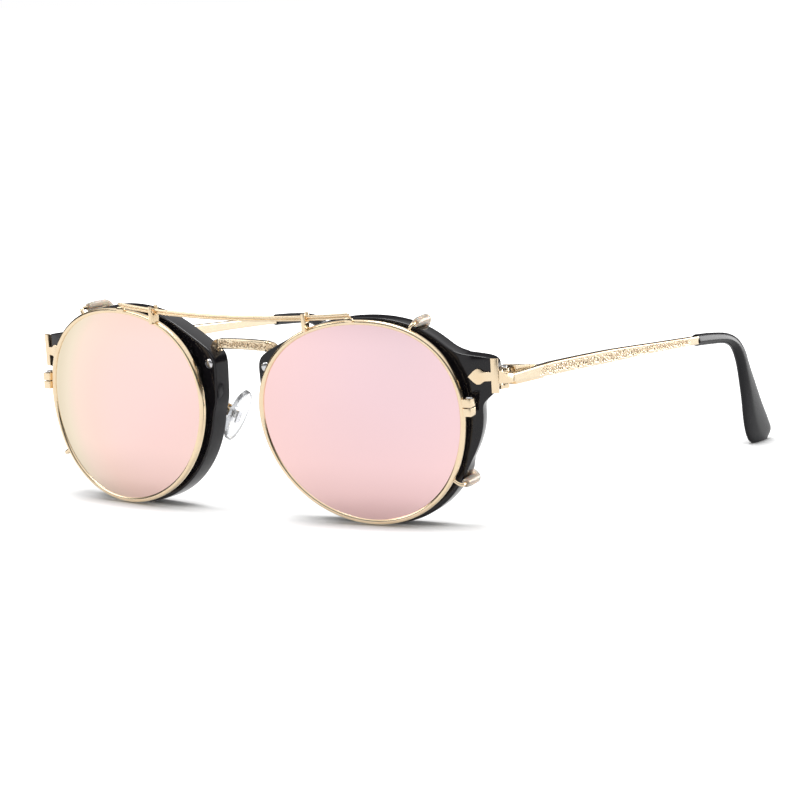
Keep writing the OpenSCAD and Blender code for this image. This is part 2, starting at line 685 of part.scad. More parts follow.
// Draws along the core wire, Y down its length from the temple's end
module on_core(side)
    on_hinge(side) translate([tip_x, temple_l, tip_z]) rotate([-tip_slope, 0, 0]) children();

module temple(side) color(gold) {
    on_hinge(side) side_plate(concat([for (y = temple_ys) temple_edge(y, -1)],
        [for (i = [24 : -1 : 0]) temple_edge(temple_ys[i], 1)]), temple_in, temple_in + temple_t);
    on_core(side) along(-0.5, core_l, core_d);
}

// Stations of a tip: [back, height] of its inner edge, then of its outer edge, then its thickness.
// Back is measured from the metal's end, height is a share of the height where the tip starts.
tip_stations = [
    [[0.1, 0.951], [0.1, 1.049], 1],
    [[8, 0.934], [8, 1.03], 1],
    [[15, 0.914], [16, 0.999], 1],
    [[18.6, 0.883], [21.3, 0.952], 1],
    [[21.1, 0.832], [25.6, 0.9], 1],
    [[23.1, 0.73], [28.4, 0.806], 1],
    [[24.4, 0.609], [30.1, 0.692], 1],
    [[25.9, 0.39], [33.3, 0.507], 1],
    [[27, 0.175], [37, 0.323], 1],
    [[28.9, 0.045], [40.6, 0.165], 0.95],
    [[32, -0.012], [42.1, 0.075], 0.8],
    [[35.5, -0.018], [40.2, 0.01], 0.5]];
tip_sides = 14;
tip_share = tip_reach / 42.2;
// A smooth curve through stations, at station i and share t of the way to the next
function through(a, b, c, d, t) =
    0.5 * (2 * b + (c - a) * t + (2 * a - 5 * b + 4 * c - d) * t * t + (3 * b - a - 3 * c + d) * t * t * t);
function tip_mix(i, t, k) =
    let (n = len(tip_stations) - 1)
    through(tip_stations[max(i - 1, 0)][k], tip_stations[i][k], tip_stations[min(i + 1, n)][k],
        tip_stations[min(i + 2, n)][k], t);
tip_rings = [for (i = [0 : len(tip_stations) - 2], t = [0, 0.5]) [for (k = [0 : 2]) tip_mix(i, t, k)]];
tip_all = concat(tip_rings, [tip_stations[len(tip_stations) - 1]]);

module temple_tip(side) color(black) {
    n = len(tip_all);
    points = [for (s = tip_all)
        let (a = [s[0].x * tip_share, s[0].y * tip_top], b = [s[1].x * tip_share, s[1].y * tip_top],
             mid = (a + b) / 2, half = (b - a) / 2)
        each [for (k = [0 : tip_sides - 1])
            let (c = cos(360 * k / tip_sides), s2 = sin(360 * k / tip_sides),
                 e = sign(c) * pow(abs(c), 0.75), f = sign(s2) * pow(abs(s2), 0.75), q = mid + half * e)
            [tip_t / 2 * s[2] * f, q.x, q.y - tip_top]]];
    walls = [for (i = [0 : n - 2], k = [0 : tip_sides - 1])
        each band(i * tip_sides, (i + 1) * tip_sides, k, tip_sides)];
    last = (n - 1) * tip_sides;
    start = [for (k = [1 : tip_sides - 2]) [0, k, k + 1]];
    finish = [for (k = [1 : tip_sides - 2]) [last, last + k + 1, last + k]];
    difference() {
        on_hinge(side) translate([tip_x, temple_l, tip_z])
            polyhedron(points, concat(walls, start, finish));
        on_core(side) along(-1, core_l + 0.3, core_d + 2 * seat);
        block([-far, -far, -far], [far, far, 0]);
    }
}

// Clip

wire_half = wire_d / 2;
mirror_groove = mirror_t + 0.42;
block_c = [radius_at(clip_out, 8.7) * cos(8.7), radius_at(clip_out, 8.7) * sin(8.7)];
block_half = 1.4;

module clip_rim(side) color(gold)
    on_rim(side) difference() {
        slab(clip_out, -wire_half, wire_half);
        slab(clip_in, -2, 2);
        slab(grown(clip_lens_edge, seat), -mirror_groove / 2, mirror_groove / 2);
        block([eye_w / 2 - 2, -2, block_c.y - block_slot / 2],
              [eye_w / 2 + 6, 2, block_c.y + block_slot / 2]);
    }

module mirror_lens(side) color(pink)
    on_rim(side) intersection() {
        slab(clip_lens_edge, -3, 3);
        dome(mirror_dome_r, mirror_t,
            -mirror_t / 2 - pow(eye_w + eye_h + 4 * clip_over, 2) / 32 / mirror_dome_r);
    }

block_screw_u = block_c.x + 1.2;

module clip_block(side) color(gold)
    on_rim(side) difference() {
        block([block_c.x - 1, -block_half, block_c.y - block_h / 2],
              [block_c.x - 1 + block_w, block_half, block_c.y + block_h / 2]);
        block([block_c.x - 4, -3, block_c.y - block_slot / 2],
              [block_c.x + 6, 3, block_c.y + block_slot / 2]);
        slab(grown(clip_out, touch), -3, 3);
        translate([block_screw_u, 0, block_c.y - block_h / 2 + 0.5])
            cylinder(d = block_screw_d + 2 * touch, h = block_h, $fn = round_fn);
    }

module block_screw(side) color(silver)
    on_rim(side) translate([block_screw_u, 0, block_c.y]) {
        translate([0, 0, 0.55 - block_h / 2]) cylinder(d = block_screw_d, h = block_h - 0.5, $fn = round_fn);
        translate([0, 0, block_h / 2 + touch]) cylinder(d = block_screw_d + 0.6, h = 0.4, $fn = round_fn);
    }

strand_gap = 0.72;
strand_r = strand_d / 2;
brow_foot_u = 1.1;

module brow_bar() color(gold) {
    stand() translate(brow_c) rotate([180 + brow_plane, 0, 0]) rotate([0, 0, 90 - brow_half])
        rotate_extrude(angle = 2 * brow_half, $fn = 900) translate([brow_r, 0])
            polygon([for (turn = [0, 1], i = [0 : 12])
                let (a = 180 * turn - 64 + 128 * i / 12 + 90)
                [strand_r * cos(a), strand_r * sin(a) + (0.5 - turn) * strand_gap]]);
    for (side = [RIGHT, LEFT]) on_rim(side) difference() {
        foot = unplace(brow_end);
        block([foot.x - brow_foot_u, foot.y - 0.35, foot.z - 2],
              [foot.x + brow_foot_u, foot.y + 0.6, foot.z - 0.5]);
        slab(grown(clip_out, touch), -wire_half - touch, wire_half + touch);
    }
}

post_at = 121.5;
post_u = radius_at(clip_out, post_at) * cos(post_at);
post_foot_w = radius_at(clip_out, post_at) * sin(post_at);
post_bar = unplace(brow_at(place(post_u, 0, post_foot_w + 2.8).x));
prong_gap = strand_r + strand_gap / 2 * sin(brow_plane) + 0.1;

module brow_post(side) color(gold)
    on_rim(side) difference() {
        union() {
            block([post_u - post_w / 2, post_bar.y - prong_gap - 0.6, post_foot_w - 0.6],
                  [post_u + post_w / 2, post_bar.y - prong_gap, post_bar.z + 1.2]);
            block([post_u - post_w / 2, post_bar.y + prong_gap, post_foot_w - 0.6],
                  [post_u + post_w / 2, post_bar.y + prong_gap + 0.6, post_bar.z + 1.3]);
            block([post_u - post_w / 2, post_bar.y - prong_gap - 0.1, post_foot_w - 0.6],
                  [post_u + post_w / 2, post_bar.y + prong_gap + 0.1,
                   post_bar.z - strand_r - strand_gap / 2 - 0.15]);
        }
        slab(grown(clip_out, touch), -wire_half - touch, wire_half + touch);
    }

hook_bend = 0.9;
hook_turn = 1.4;
hook_clear = 0.1;
hook_back = rim_back + hook_clear + sleeve_d / 2;
sleeve_from = 2.5;
// Route of a hook in direction a, as [distance from the eye's middle, depth]
function hook_rho(a) = radius_at(front_edge, a) + hook_clear + sleeve_d / 2;
function hook_start(a) = let (r0 = radius_at(clip_out, a) + seat, r1 = hook_rho(a))
    concat([[r0, 0]], [for (i = [0 : 5]) let (t = 18 * i)
        [r1 - hook_bend + hook_bend * sin(t), hook_bend - hook_bend * cos(t)]]);
function hook_rear(a, end) = let (r1 = hook_rho(a))
    concat([for (i = [0 : 6]) let (t = 15 * i)
        [r1 - hook_turn + hook_turn * cos(t), hook_back - hook_turn + hook_turn * sin(t)]],
        [[radius_at(front_edge, a) - end, hook_back]]);
function in_rim(route, a) = [for (p = route) [p[0] * cos(a), p[1], p[0] * sin(a)]];

module hook(side, a) color(gold) {
    route = in_rim(concat(hook_start(a), hook_rear(a, 0.8)), a);
    on_rim(side) tube(route, [for (p = route) hook_d / 2], [sin(a), 0, -cos(a)]);
}

module sleeve(side, a) color(beige)
    on_rim(side) sleeve_tube(in_rim(concat([[hook_rho(a), sleeve_from]], hook_rear(a, 1.1)), a),
        sleeve_d / 2, hook_d / 2 + seat, [sin(a), 0, -cos(a)]);

rim(RIGHT);  // rim_right
rim(LEFT);  // rim_left
bridge();
bridge_rivet(RIGHT);  // bridge_rivet_right
bridge_rivet(LEFT);  // bridge_rivet_left
clear_lens(RIGHT);  // clear_lens_right
clear_lens(LEFT);  // clear_lens_left
pad_arm(RIGHT);  // pad_arm_right
pad_arm(LEFT);  // pad_arm_left
pad_screw(RIGHT);  // pad_screw_right
pad_screw(LEFT);  // pad_screw_left
nose_pad(RIGHT);  // nose_pad_right
nose_pad(LEFT);  // nose_pad_left
corner_plaque(RIGHT);  // corner_plaque_right
corner_plaque(LEFT);  // corner_plaque_left
plaque_rivets(RIGHT);  // plaque_rivets_right
plaque_rivets(LEFT);  // plaque_rivets_left
hinge_leaf(RIGHT);  // hinge_leaf_right
hinge_leaf(LEFT);  // hinge_leaf_left
hinge_screw(RIGHT);  // hinge_screw_right
hinge_screw(LEFT);  // hinge_screw_left
hinge_sled(RIGHT);  // hinge_sled_right
hinge_sled(LEFT);  // hinge_sled_left
hinge_spring(RIGHT);  // hinge_spring_right
hinge_spring(LEFT);  // hinge_spring_left
spring_box(RIGHT);  // spring_box_right
spring_box(LEFT);  // spring_box_left
temple(RIGHT);  // temple_right
temple(LEFT);  // temple_left
temple_tip(RIGHT);  // temple_tip_right
temple_tip(LEFT);  // temple_tip_left
clip_rim(RIGHT);  // clip_rim_right
clip_rim(LEFT);  // clip_rim_left
mirror_lens(RIGHT);  // mirror_lens_right
mirror_lens(LEFT);  // mirror_lens_left
brow_bar();
brow_post(RIGHT);  // brow_post_right
brow_post(LEFT);  // brow_post_left
clip_block(RIGHT);  // clip_block_right
clip_block(LEFT);  // clip_block_left
block_screw(RIGHT);  // block_screw_right
block_screw(LEFT);  // block_screw_left
hook(RIGHT, hook_up_at);  // upper_hook_right
hook(LEFT, hook_up_at);  // upper_hook_left
hook(RIGHT, hook_low_at);  // lower_hook_right
hook(LEFT, hook_low_at);  // lower_hook_left
sleeve(RIGHT, hook_up_at);  // upper_sleeve_right
sleeve(LEFT, hook_up_at);  // upper_sleeve_left
sleeve(RIGHT, hook_low_at);  // lower_sleeve_right
sleeve(LEFT, hook_low_at);  // lower_sleeve_left
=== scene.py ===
# %% [markdown]
# # Round glasses with a hook-on mirror clip
# The real thing is a black plastic front with metal temples, and a gold wire clip that carries two
# rose mirror lenses and grips the front with four sleeved hooks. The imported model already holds
# every piece at its real size. It could be rendered as it is, but its edges are knife sharp, so
# this script dresses it: it lays finer surfaces over the solids and leaves their places alone.

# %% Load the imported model
import bmesh
import bpy
import math
import numpy as np
from mathutils import Matrix, Vector


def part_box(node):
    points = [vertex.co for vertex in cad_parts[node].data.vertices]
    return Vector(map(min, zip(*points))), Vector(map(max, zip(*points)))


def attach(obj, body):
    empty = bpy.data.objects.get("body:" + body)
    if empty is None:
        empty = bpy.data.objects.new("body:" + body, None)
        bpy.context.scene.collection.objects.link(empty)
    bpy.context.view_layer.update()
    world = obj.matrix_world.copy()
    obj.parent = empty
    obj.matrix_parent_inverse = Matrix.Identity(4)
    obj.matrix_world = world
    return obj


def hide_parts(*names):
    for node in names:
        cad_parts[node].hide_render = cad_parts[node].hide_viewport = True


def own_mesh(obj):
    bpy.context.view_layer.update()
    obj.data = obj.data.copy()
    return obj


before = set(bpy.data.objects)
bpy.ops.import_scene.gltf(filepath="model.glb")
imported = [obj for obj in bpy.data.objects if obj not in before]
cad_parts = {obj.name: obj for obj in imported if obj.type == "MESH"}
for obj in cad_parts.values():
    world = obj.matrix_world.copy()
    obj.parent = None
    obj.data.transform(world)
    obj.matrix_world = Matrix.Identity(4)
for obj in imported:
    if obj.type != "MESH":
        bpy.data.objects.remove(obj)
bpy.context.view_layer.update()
MM = 0.001
SIDES = {"right": -1.0, "left": 1.0}

# %% [markdown]
# ## Camera
# A product photograph of glasses is taken from a metre or so away with a long lens, which keeps
# the near lens from looking bigger than the far one. The camera could be aimed by eye; here its
# place and its three turns were solved from the picture, so a render lies on the photograph.

# %% Camera
GROUND_MIDDLE = 71.8229        # how far the clip's plane lies in front of the origin
LENS_MM, SENSOR_MM = 134.44, 36.0
camera_at = np.array([424.9, -570.87 - GROUND_MIDDLE, 134.01])
turn, pitch, roll = (math.radians(a) for a in (33.59, 8.59, -1.95))
ahead = np.array([-math.sin(turn) * math.cos(pitch), math.cos(turn) * math.cos(pitch),
                  -math.sin(pitch)])
level = np.array([math.cos(turn), math.sin(turn), 0.0])
over = np.cross(level, ahead)
right_of = math.cos(roll) * level + math.sin(roll) * over
up_of = -math.sin(roll) * level + math.cos(roll) * over

lens_data = bpy.data.cameras.new("camera")
lens_data.lens = LENS_MM
lens_data.sensor_width = SENSOR_MM
lens_data.clip_start = 0.01
lens_data.clip_end = 20.0
camera = bpy.data.objects.new("camera", lens_data)
axes = [[right_of[i], up_of[i], -ahead[i], camera_at[i] * MM] for i in range(3)]
camera.matrix_world = Matrix(axes + [[0, 0, 0, 1]])
bpy.context.scene.collection.objects.link(camera)
bpy.context.scene.camera = camera
print("camera distance mm", round(float(np.linalg.norm(camera_at)), 1))

# %% [markdown]
# ## Studio
# The picture is a cut-out look: white all round, with faint soft shadows under the rims and tips.
# Strong lamps would burn the floor to white and the glasses with it. A gentler way is to light
# the object plainly and let the floor and the sky glow a little only where the camera, a
# reflection or a clear piece looks at them.

# %% Studio
scene = bpy.context.scene
scene.view_settings.view_transform = "Standard"


def node_tree(owner):
    """An empty node tree of a material or world, with a short way to add nodes to it."""
    owner.use_nodes = True
    tree = owner.node_tree
    tree.nodes.clear()

    def add(kind, **values):
        node = tree.nodes.new(kind)
        for key, value in values.items():
            if hasattr(node, key):
                setattr(node, key, value)
            else:
                node.inputs[key.replace("_", " ")].default_value = value
        return node

    return tree, add


def wire(tree, *pairs):
    """Joins nodes: each pair is an output socket and the input socket that it feeds."""
    for source, target in pairs:
        tree.links.new(source, target)


def ranged(tree, add, source, take, give, smooth=False):
    """Turns a value in the range `take` into one in the range `give`, and stops at its ends."""
    node = add("ShaderNodeMapRange", interpolation_type="SMOOTHSTEP" if smooth else "LINEAR")
    for socket, value in zip(("From Min", "From Max", "To Min", "To Max"), (*take, *give)):
        node.inputs[socket].default_value = value
    tree.links.new(source, node.inputs["Value"])
    return node.outputs["Result"]


def tone_ramp(tree, add, source, stops, blend="LINEAR"):
    """Turns a 0 to 1 value into a colour; stops holds (position, (r, g, b)) in rising order."""
    node = add("ShaderNodeValToRGB")
    ramp = node.color_ramp
    ramp.interpolation = blend
    for element, (spot, tone) in zip(ramp.elements, (stops[0], stops[-1])):
        element.position = spot
        element.color = (*tone, 1)
    for spot, tone in stops[1:-1]:
        ramp.elements.new(spot).color = (*tone, 1)
    tree.links.new(source, node.inputs["Fac"])
    return node.outputs["Color"]


def seen_straight(tree, add, path):
    """1 where the camera looks, directly or through a clear piece, and 0 for other light."""
    seen = add("ShaderNodeMath", operation="MAXIMUM")
    wire(tree, (path.outputs["Is Camera Ray"], seen.inputs[0]),
         (path.outputs["Is Transmission Ray"], seen.inputs[1]))
    return seen.outputs[0]


# What polished metal mirrors, from straight down (0) to straight up (1): dark low, bright high.
SKY_STOPS = ((0.5, (0.08, 0.08, 0.085)), (0.58, (0.03,) * 3), (0.67, (0.06,) * 3),
             (0.74, (0.4,) * 3), (0.79, (0.9,) * 3), (0.88, (1.0,) * 3))
SKY_LIGHT = 0.42               # how strongly the white sky lights the object

world = bpy.data.worlds.new("studio")
scene.world = world
tree, add = node_tree(world)
path = add("ShaderNodeLightPath")
sky_way = add("ShaderNodeTexCoord")
split = add("ShaderNodeSeparateXYZ")
half_up = add("ShaderNodeMath", operation="MULTIPLY_ADD")
half_up.inputs[1].default_value = 0.5
half_up.inputs[2].default_value = 0.5
wire(tree, (sky_way.outputs["Generated"], split.inputs[0]), (split.outputs["Z"], half_up.inputs[0]))
sky_tone = tone_ramp(tree, add, half_up.outputs[0], SKY_STOPS, "EASE")
soft_sky = add("ShaderNodeBackground", Color=(1, 1, 1, 1), Strength=SKY_LIGHT)
mirror_sky = add("ShaderNodeBackground", Strength=1.0)
white_sky = add("ShaderNodeBackground", Color=(1, 1, 1, 1), Strength=1.0)
see_mirror = add("ShaderNodeMixShader")
see_white = add("ShaderNodeMixShader")
world_out = add("ShaderNodeOutputWorld")
wire(tree, (sky_tone, mirror_sky.inputs["Color"]),
     (path.outputs["Is Glossy Ray"], see_mirror.inputs["Fac"]),
     (soft_sky.outputs[0], see_mirror.inputs[1]), (mirror_sky.outputs[0], see_mirror.inputs[2]),
     (seen_straight(tree, add, path), see_white.inputs["Fac"]),
     (see_mirror.outputs[0], see_white.inputs[1]), (white_sky.outputs[0], see_white.inputs[2]),
     (see_white.outputs[0], world_out.inputs["Surface"]))

NEAR, FAR = 0.1, 0.45          # metres from the middle between which the floor turns white
SHADOW_REACH = 0.011           # metres around a foot in which the floor stays dark

floor_material = bpy.data.materials.new("white_sweep")
tree, add = node_tree(floor_material)
path = add("ShaderNodeLightPath")
matte = add("ShaderNodeBsdfDiffuse", Color=(0.8, 0.8, 0.8, 1))
spot_on_floor = add("ShaderNodeTexCoord")
away = add("ShaderNodeVectorMath", operation="LENGTH")
nearness = add("ShaderNodeAmbientOcclusion", samples=8)
nearness.inputs["Distance"].default_value = SHADOW_REACH
floor_glow = add("ShaderNodeMath", operation="ADD")
straight_glow = add("ShaderNodeMath", operation="MULTIPLY")
glow_level = add("ShaderNodeMath", operation="MULTIPLY_ADD")
glow = add("ShaderNodeEmission", Color=(1, 1, 1, 1))
both = add("ShaderNodeAddShader")
out = add("ShaderNodeOutputMaterial")
distance = away.outputs["Value"]
wire(tree, (spot_on_floor.outputs["Object"], away.inputs[0]),
     (ranged(tree, add, distance, (NEAR, FAR), (0.0, 1.0)), floor_glow.inputs[0]),
     (ranged(tree, add, nearness.outputs["AO"], (0.4, 0.93), (0.0, 0.55), True),
      floor_glow.inputs[1]),
     (seen_straight(tree, add, path), straight_glow.inputs[0]),
     (floor_glow.outputs[0], straight_glow.inputs[1]),
     (path.outputs["Is Glossy Ray"], glow_level.inputs[0]),
     (ranged(tree, add, distance, (NEAR, FAR), (0.2, 0.28)), glow_level.inputs[1]),
     (straight_glow.outputs[0], glow_level.inputs[2]),
     (glow_level.outputs[0], glow.inputs["Strength"]),
     (matte.outputs[0], both.inputs[0]), (glow.outputs[0], both.inputs[1]),
     (both.outputs[0], out.inputs["Surface"]))

FLOOR_HALF = 6.0
floor_mesh = bpy.data.meshes.new("floor")
corners = [(FLOOR_HALF * x, FLOOR_HALF * y, 0.0) for x, y in ((-1, -1), (1, -1), (1, 1), (-1, 1))]
floor_mesh.from_pydata(corners, [], [(0, 1, 2, 3)])
floor = bpy.data.objects.new("floor", floor_mesh)
floor.location.z = -0.0001
floor_mesh.materials.append(floor_material)
scene.collection.objects.link(floor)


def soft_lamp(name, at, size, watts):
    """A round lamp at `at`, in metres, that faces the middle of the glasses."""
    data = bpy.data.lights.new(name, "AREA")
    data.shape = "DISK"
    data.size = size
    data.energy = watts
    lamp = bpy.data.objects.new(name, data)
    lamp.location = at
    lamp.rotation_euler = (Vector((0, 0, 0.02)) - Vector(at)).to_track_quat("-Z", "Y").to_euler()
    scene.collection.objects.link(lamp)
    return lamp


soft_lamp("overhead", (-0.12, -0.02, 1.1), 0.51, 6.4)
soft_lamp("left_front", (-0.9, -0.9, 0.7), 0.68, 2.6)
soft_lamp("right_back", (0.5, 1.1, 0.2), 0.68, 6.0)

# %% [markdown]
# ## Finishes
# Each finish is one function that sets the plain numbers on the shader and then adds the small
# unevenness that a real surface has. The unevenness could be painted on an image; noise that
# reads Object coordinates needs no unwrapping and stays put when a piece moves.

# %% Finishes
def finish_of(name, **values):
    """A new material with these numbers on its main shader: material, tree, shader and adder."""
    material = bpy.data.materials.new(name)
    tree, add = node_tree(material)
    shader = add("ShaderNodeBsdfPrincipled")
    for key, value in values.items():
        shader.inputs[key.replace("_", " ")].default_value = value
    out = add("ShaderNodeOutputMaterial")
    tree.links.new(shader.outputs[0], out.inputs["Surface"])
    return material, tree, shader, add


def object_noise(tree, add, per_metre, detail=3.0):
    """A 0 to 1 noise on Object coordinates with this many lumps in a metre."""
    coords = add("ShaderNodeTexCoord")
    noise = add("ShaderNodeTexNoise", Scale=per_metre, Detail=detail)
    tree.links.new(coords.outputs["Object"], noise.inputs["Vector"])
    return noise.outputs["Fac"]


def roughened(tree, add, shader, source, low, high):
    """Lets the roughness follow a 0 to 1 value between low and high."""
    tree.links.new(ranged(tree, add, source, (0, 1), (low, high)), shader.inputs["Roughness"])


def bumped(tree, add, shader, source, depth):
    """Raises the surface by up to `depth` metres where the source is 1."""
    bump = add("ShaderNodeBump", Distance=depth, Strength=1.0)
    wire(tree, (source, bump.inputs["Height"]), (bump.outputs[0], shader.inputs["Normal"]))


def tinted(tree, add, shader, source, stops):
    """Colours the surface from a 0 to 1 value; stops holds (position, (r, g, b))."""
    tree.links.new(tone_ramp(tree, add, source, stops), shader.inputs["Base Color"])


def patina_and_shade_of(add):
    """The 0 to 1 value that a piece stores at its points: cut depth, read as patina, and painted
    shade near an edge.
    """
    node = add("ShaderNodeAttribute")
    # this attribute holds real patina depth and painted shade alike
    node.attribute_name = "hollow"
    return node.outputs["Fac"]


def gold_finish(name, engraved=False):
    """Pale gold plating: polished, a little cloudy, brown with patina in the engraved hollows, and
    darker where a piece stores painted shade.
    """
    material, tree, shader, add = finish_of(name, Metallic=1.0)
    cloud = object_noise(tree, add, 260.0)
    roughened(tree, add, shader, cloud, 0.1, 0.26)
    if engraved:
        # brown patina in the engraved hollows, and painted shade where a piece stores it near an
        # edge
        tinted(tree, add, shader, patina_and_shade_of(add),
               ((0.0, (0.95, 0.8, 0.58)), (0.4, (0.72, 0.54, 0.35)), (1.0, (0.22, 0.13, 0.07))))
    else:
        tinted(tree, add, shader, cloud, ((0.3, (0.92, 0.73, 0.49)), (0.7, (0.96, 0.79, 0.56))))
    bumped(tree, add, shader, object_noise(tree, add, 5200.0, 2.0), 2.5e-6)
    return material


def steel_finish(name):
    """Bright screws and rivets with fine turning marks."""
    material, tree, shader, add = finish_of(name, Metallic=1.0, Base_Color=(0.72, 0.72, 0.74, 1))
    marks = object_noise(tree, add, 2400.0, 2.0)
    roughened(tree, add, shader, marks, 0.14, 0.34)
    bumped(tree, add, shader, marks, 4e-6)
    return material


def black_finish(name, rough_low, rough_high, tone, ior):
    """Black acetate or moulded plastic: dark all through, with a skin that is never quite even."""
    material, tree, shader, add = finish_of(name, IOR=ior)
    skin = object_noise(tree, add, 120.0, 4.0)
    tinted(tree, add, shader, skin, ((0.3, tone), (0.75, tuple(1.6 * c for c in tone))))
    roughened(tree, add, shader, skin, rough_low, rough_high)
    bumped(tree, add, shader, object_noise(tree, add, 900.0, 2.0), 4e-6)
    return material


gold = gold_finish("pale_gold")
carved_gold_and_shade = gold_finish("engraved_gold_and_shade", engraved=True)
steel = steel_finish("bright_steel")
gloss_black = black_finish("gloss_black", 0.06, 0.16, (0.009, 0.008, 0.01), 1.42)
satin_black = black_finish("satin_black", 0.2, 0.3, (0.008, 0.008, 0.01), 1.34)


FLOOR_SHADOW_BAND = (0.002, 0.016)          # metres over the ground between which a painted reflection of the floor's shadow fades out of the mirror lens


def mirror_finish(name, stops, centre, reach):
    """A rose mirror coat: its colour follows the distance from a centre, and a painted reflection
    of the floor's shadow darkens it at the foot.

    The share read from the stops is the distance in space from `centre`, over `reach`.
    """
    material, tree, shader, add = finish_of(name, Metallic=1.0)
    coords = add("ShaderNodeTexCoord").outputs["Object"]
    offset = add("ShaderNodeVectorMath", operation="SUBTRACT")
    offset.inputs[1].default_value = tuple(v * MM for v in centre)
    away = add("ShaderNodeVectorMath", operation="LENGTH")
    share = add("ShaderNodeMath", operation="DIVIDE")
    share.inputs[1].default_value = reach * MM
    parts = add("ShaderNodeSeparateXYZ")
    # painted shadow: the floor's shadow as the lens would mirror it, darker towards the ground
    floor_shadow = add("ShaderNodeVectorMath", operation="SCALE")
    wire(tree, (coords, offset.inputs[0]), (offset.outputs[0], away.inputs[0]),
         (away.outputs["Value"], share.inputs[0]), (coords, parts.inputs[0]),
         (tone_ramp(tree, add, share.outputs[0], stops), floor_shadow.inputs[0]),
         (ranged(tree, add, parts.outputs["Z"], FLOOR_SHADOW_BAND, (0.82, 1.0), True), floor_shadow.inputs["Scale"]),
         (floor_shadow.outputs[0], shader.inputs["Base Color"]))
    roughened(tree, add, shader, object_noise(tree, add, 60.0, 2.0), 0.02, 0.06)
    return material


MIRRORS = {                    # stops, centre of the colour in mm, and the reach of the last stop
    "right": (((0.0, (1.0, 0.71, 0.68)), (0.45, (0.99, 0.715, 0.665)), (0.66, (0.985, 0.72, 0.64)),
               (0.82, (0.955, 0.75, 0.64)), (0.92, (0.88, 0.76, 0.6)), (1.0, (0.8, 0.7, 0.53))),
              (-22.0, -72.0, 24.0), 37.0),
    "left": (((0.0, (0.89, 0.66, 0.7)), (0.3, (0.925, 0.67, 0.705)), (0.6, (0.96, 0.68, 0.69)),
              (1.0, (0.985, 0.68, 0.65))),
             (47.0, -72.0, 42.0), 48.0),
}
lens_back, tree, shader, add = finish_of("mirror_lens_back", IOR=1.25,
                                         Base_Color=(0.014, 0.009, 0.01, 1))
roughened(tree, add, shader, object_noise(tree, add, 90.0, 2.0), 0.13, 0.2)


def clear_finish(name, tone, low, high, ior, lumps, edge=None):
    """A clear piece: light goes through it, and its surface is slightly uneven.

    Bare plastic has an IOR of 1.5; a lens with a coat against reflections mirrors less. With an
    edge colour, the piece is tinted to it by its `hollow` value, a painted shade towards its rim.
    """
    material, tree, shader, add = finish_of(name, Base_Color=(*tone, 1), IOR=ior,
                                            Transmission_Weight=1.0)
    roughened(tree, add, shader, object_noise(tree, add, lumps, 2.0), low, high)
    if edge:
        tinted(tree, add, shader, patina_and_shade_of(add), ((0.0, tone), (0.4, tone), (1.0, edge)))
    return material


clear_lens_finish = clear_finish("clear_lens", (0.98, 0.99, 1.0), 0.0, 0.006, 1.36, 60.0)
# the pad's edge colour is a painted shade at its rim
rim_shaded_pad_finish = clear_finish("clear_pad_rim_shade", (0.93, 0.94, 0.95), 0.16, 0.26, 1.38, 500.0,
                          edge=(0.5, 0.51, 0.53))
sleeve_finish, tree, shader, add = finish_of("milky_sleeve", IOR=1.4, Transmission_Weight=0.45,
                                             Subsurface_Weight=0.6, Subsurface_Scale=1.0)
shader.inputs["Subsurface Radius"].default_value = (0.0014, 0.0011, 0.0009)
milk = object_noise(tree, add, 400.0, 1.0)
tinted(tree, add, shader, milk, ((0.3, (0.9, 0.81, 0.72)), (0.7, (0.96, 0.89, 0.81))))
roughened(tree, add, shader, milk, 0.1, 0.18)
print("finishes", len(bpy.data.materials))

# %% [markdown]
# ## Surfaces from arrays
# Every new piece is a grid of points: rows run along the piece and columns run round it. Blender's
# own primitives could be pushed into shape, but a formula on a grid gives the exact curve at
# once, and the same few lines close the ends and turn the faces outwards.

# %% Surfaces from arrays
def to_mesh(name, points, faces, materials, smooth_angle=50.0):
    """A closed piece from points in millimetres, merged at its seams, with faces pointing out."""
    mesh = bpy.data.meshes.new(name)
    mesh.from_pydata((points * MM).tolist(), [], faces)
    bm = bmesh.new()
    bm.from_mesh(mesh)
    bmesh.ops.remove_doubles(bm, verts=bm.verts, dist=2e-7)
    bmesh.ops.recalc_face_normals(bm, faces=bm.faces)
    bm.to_mesh(mesh)
    bm.free()
    for material in materials:
        mesh.materials.append(material)
    mesh.shade_smooth()
    mesh.set_sharp_from_angle(angle=math.radians(smooth_angle))
    piece = bpy.data.objects.new(name, mesh)
    scene.collection.objects.link(piece)
    return piece


def grid_faces(rows, columns, wrap_rows, wrap_columns):
    """The four-cornered faces of a grid of points, joined round where asked."""
    index = np.arange(rows * columns).reshape(rows, columns)
    if wrap_rows:
        index = np.vstack([index, index[:1]])
    if wrap_columns:
        index = np.hstack([index, index[:, :1]])
    a, b, c, d = index[:-1, :-1], index[:-1, 1:], index[1:, 1:], index[1:, :-1]
    return np.stack([a, b, c, d], -1).reshape(-1, 4).tolist()


def grid_piece(name, grid, material, wrap_rows=False, smooth_angle=50.0):
    """A piece from a (rows, columns, 3) grid, closed round its columns and capped at its ends."""
    rows, columns = grid.shape[:2]
    faces = grid_faces(rows, columns, wrap_rows, True)
    if not wrap_rows:
        faces.append(list(range(columns)))
        faces.append(list(range((rows - 1) * columns, rows * columns)))
    materials = material if isinstance(material, (list, tuple)) else [material]
    return to_mesh(name, grid.reshape(-1, 3), faces, materials, smooth_angle)


def set_patina_and_shade(piece, depth):
    """Stores a 0 to 1 value at every point, which a finish can read as `hollow`: patina in cuts and
    painted shade near edges.
    """
    layer = piece.data.attributes.new("hollow", "FLOAT", "POINT")
    layer.data.foreach_set("value", np.ascontiguousarray(depth, dtype=float).ravel())


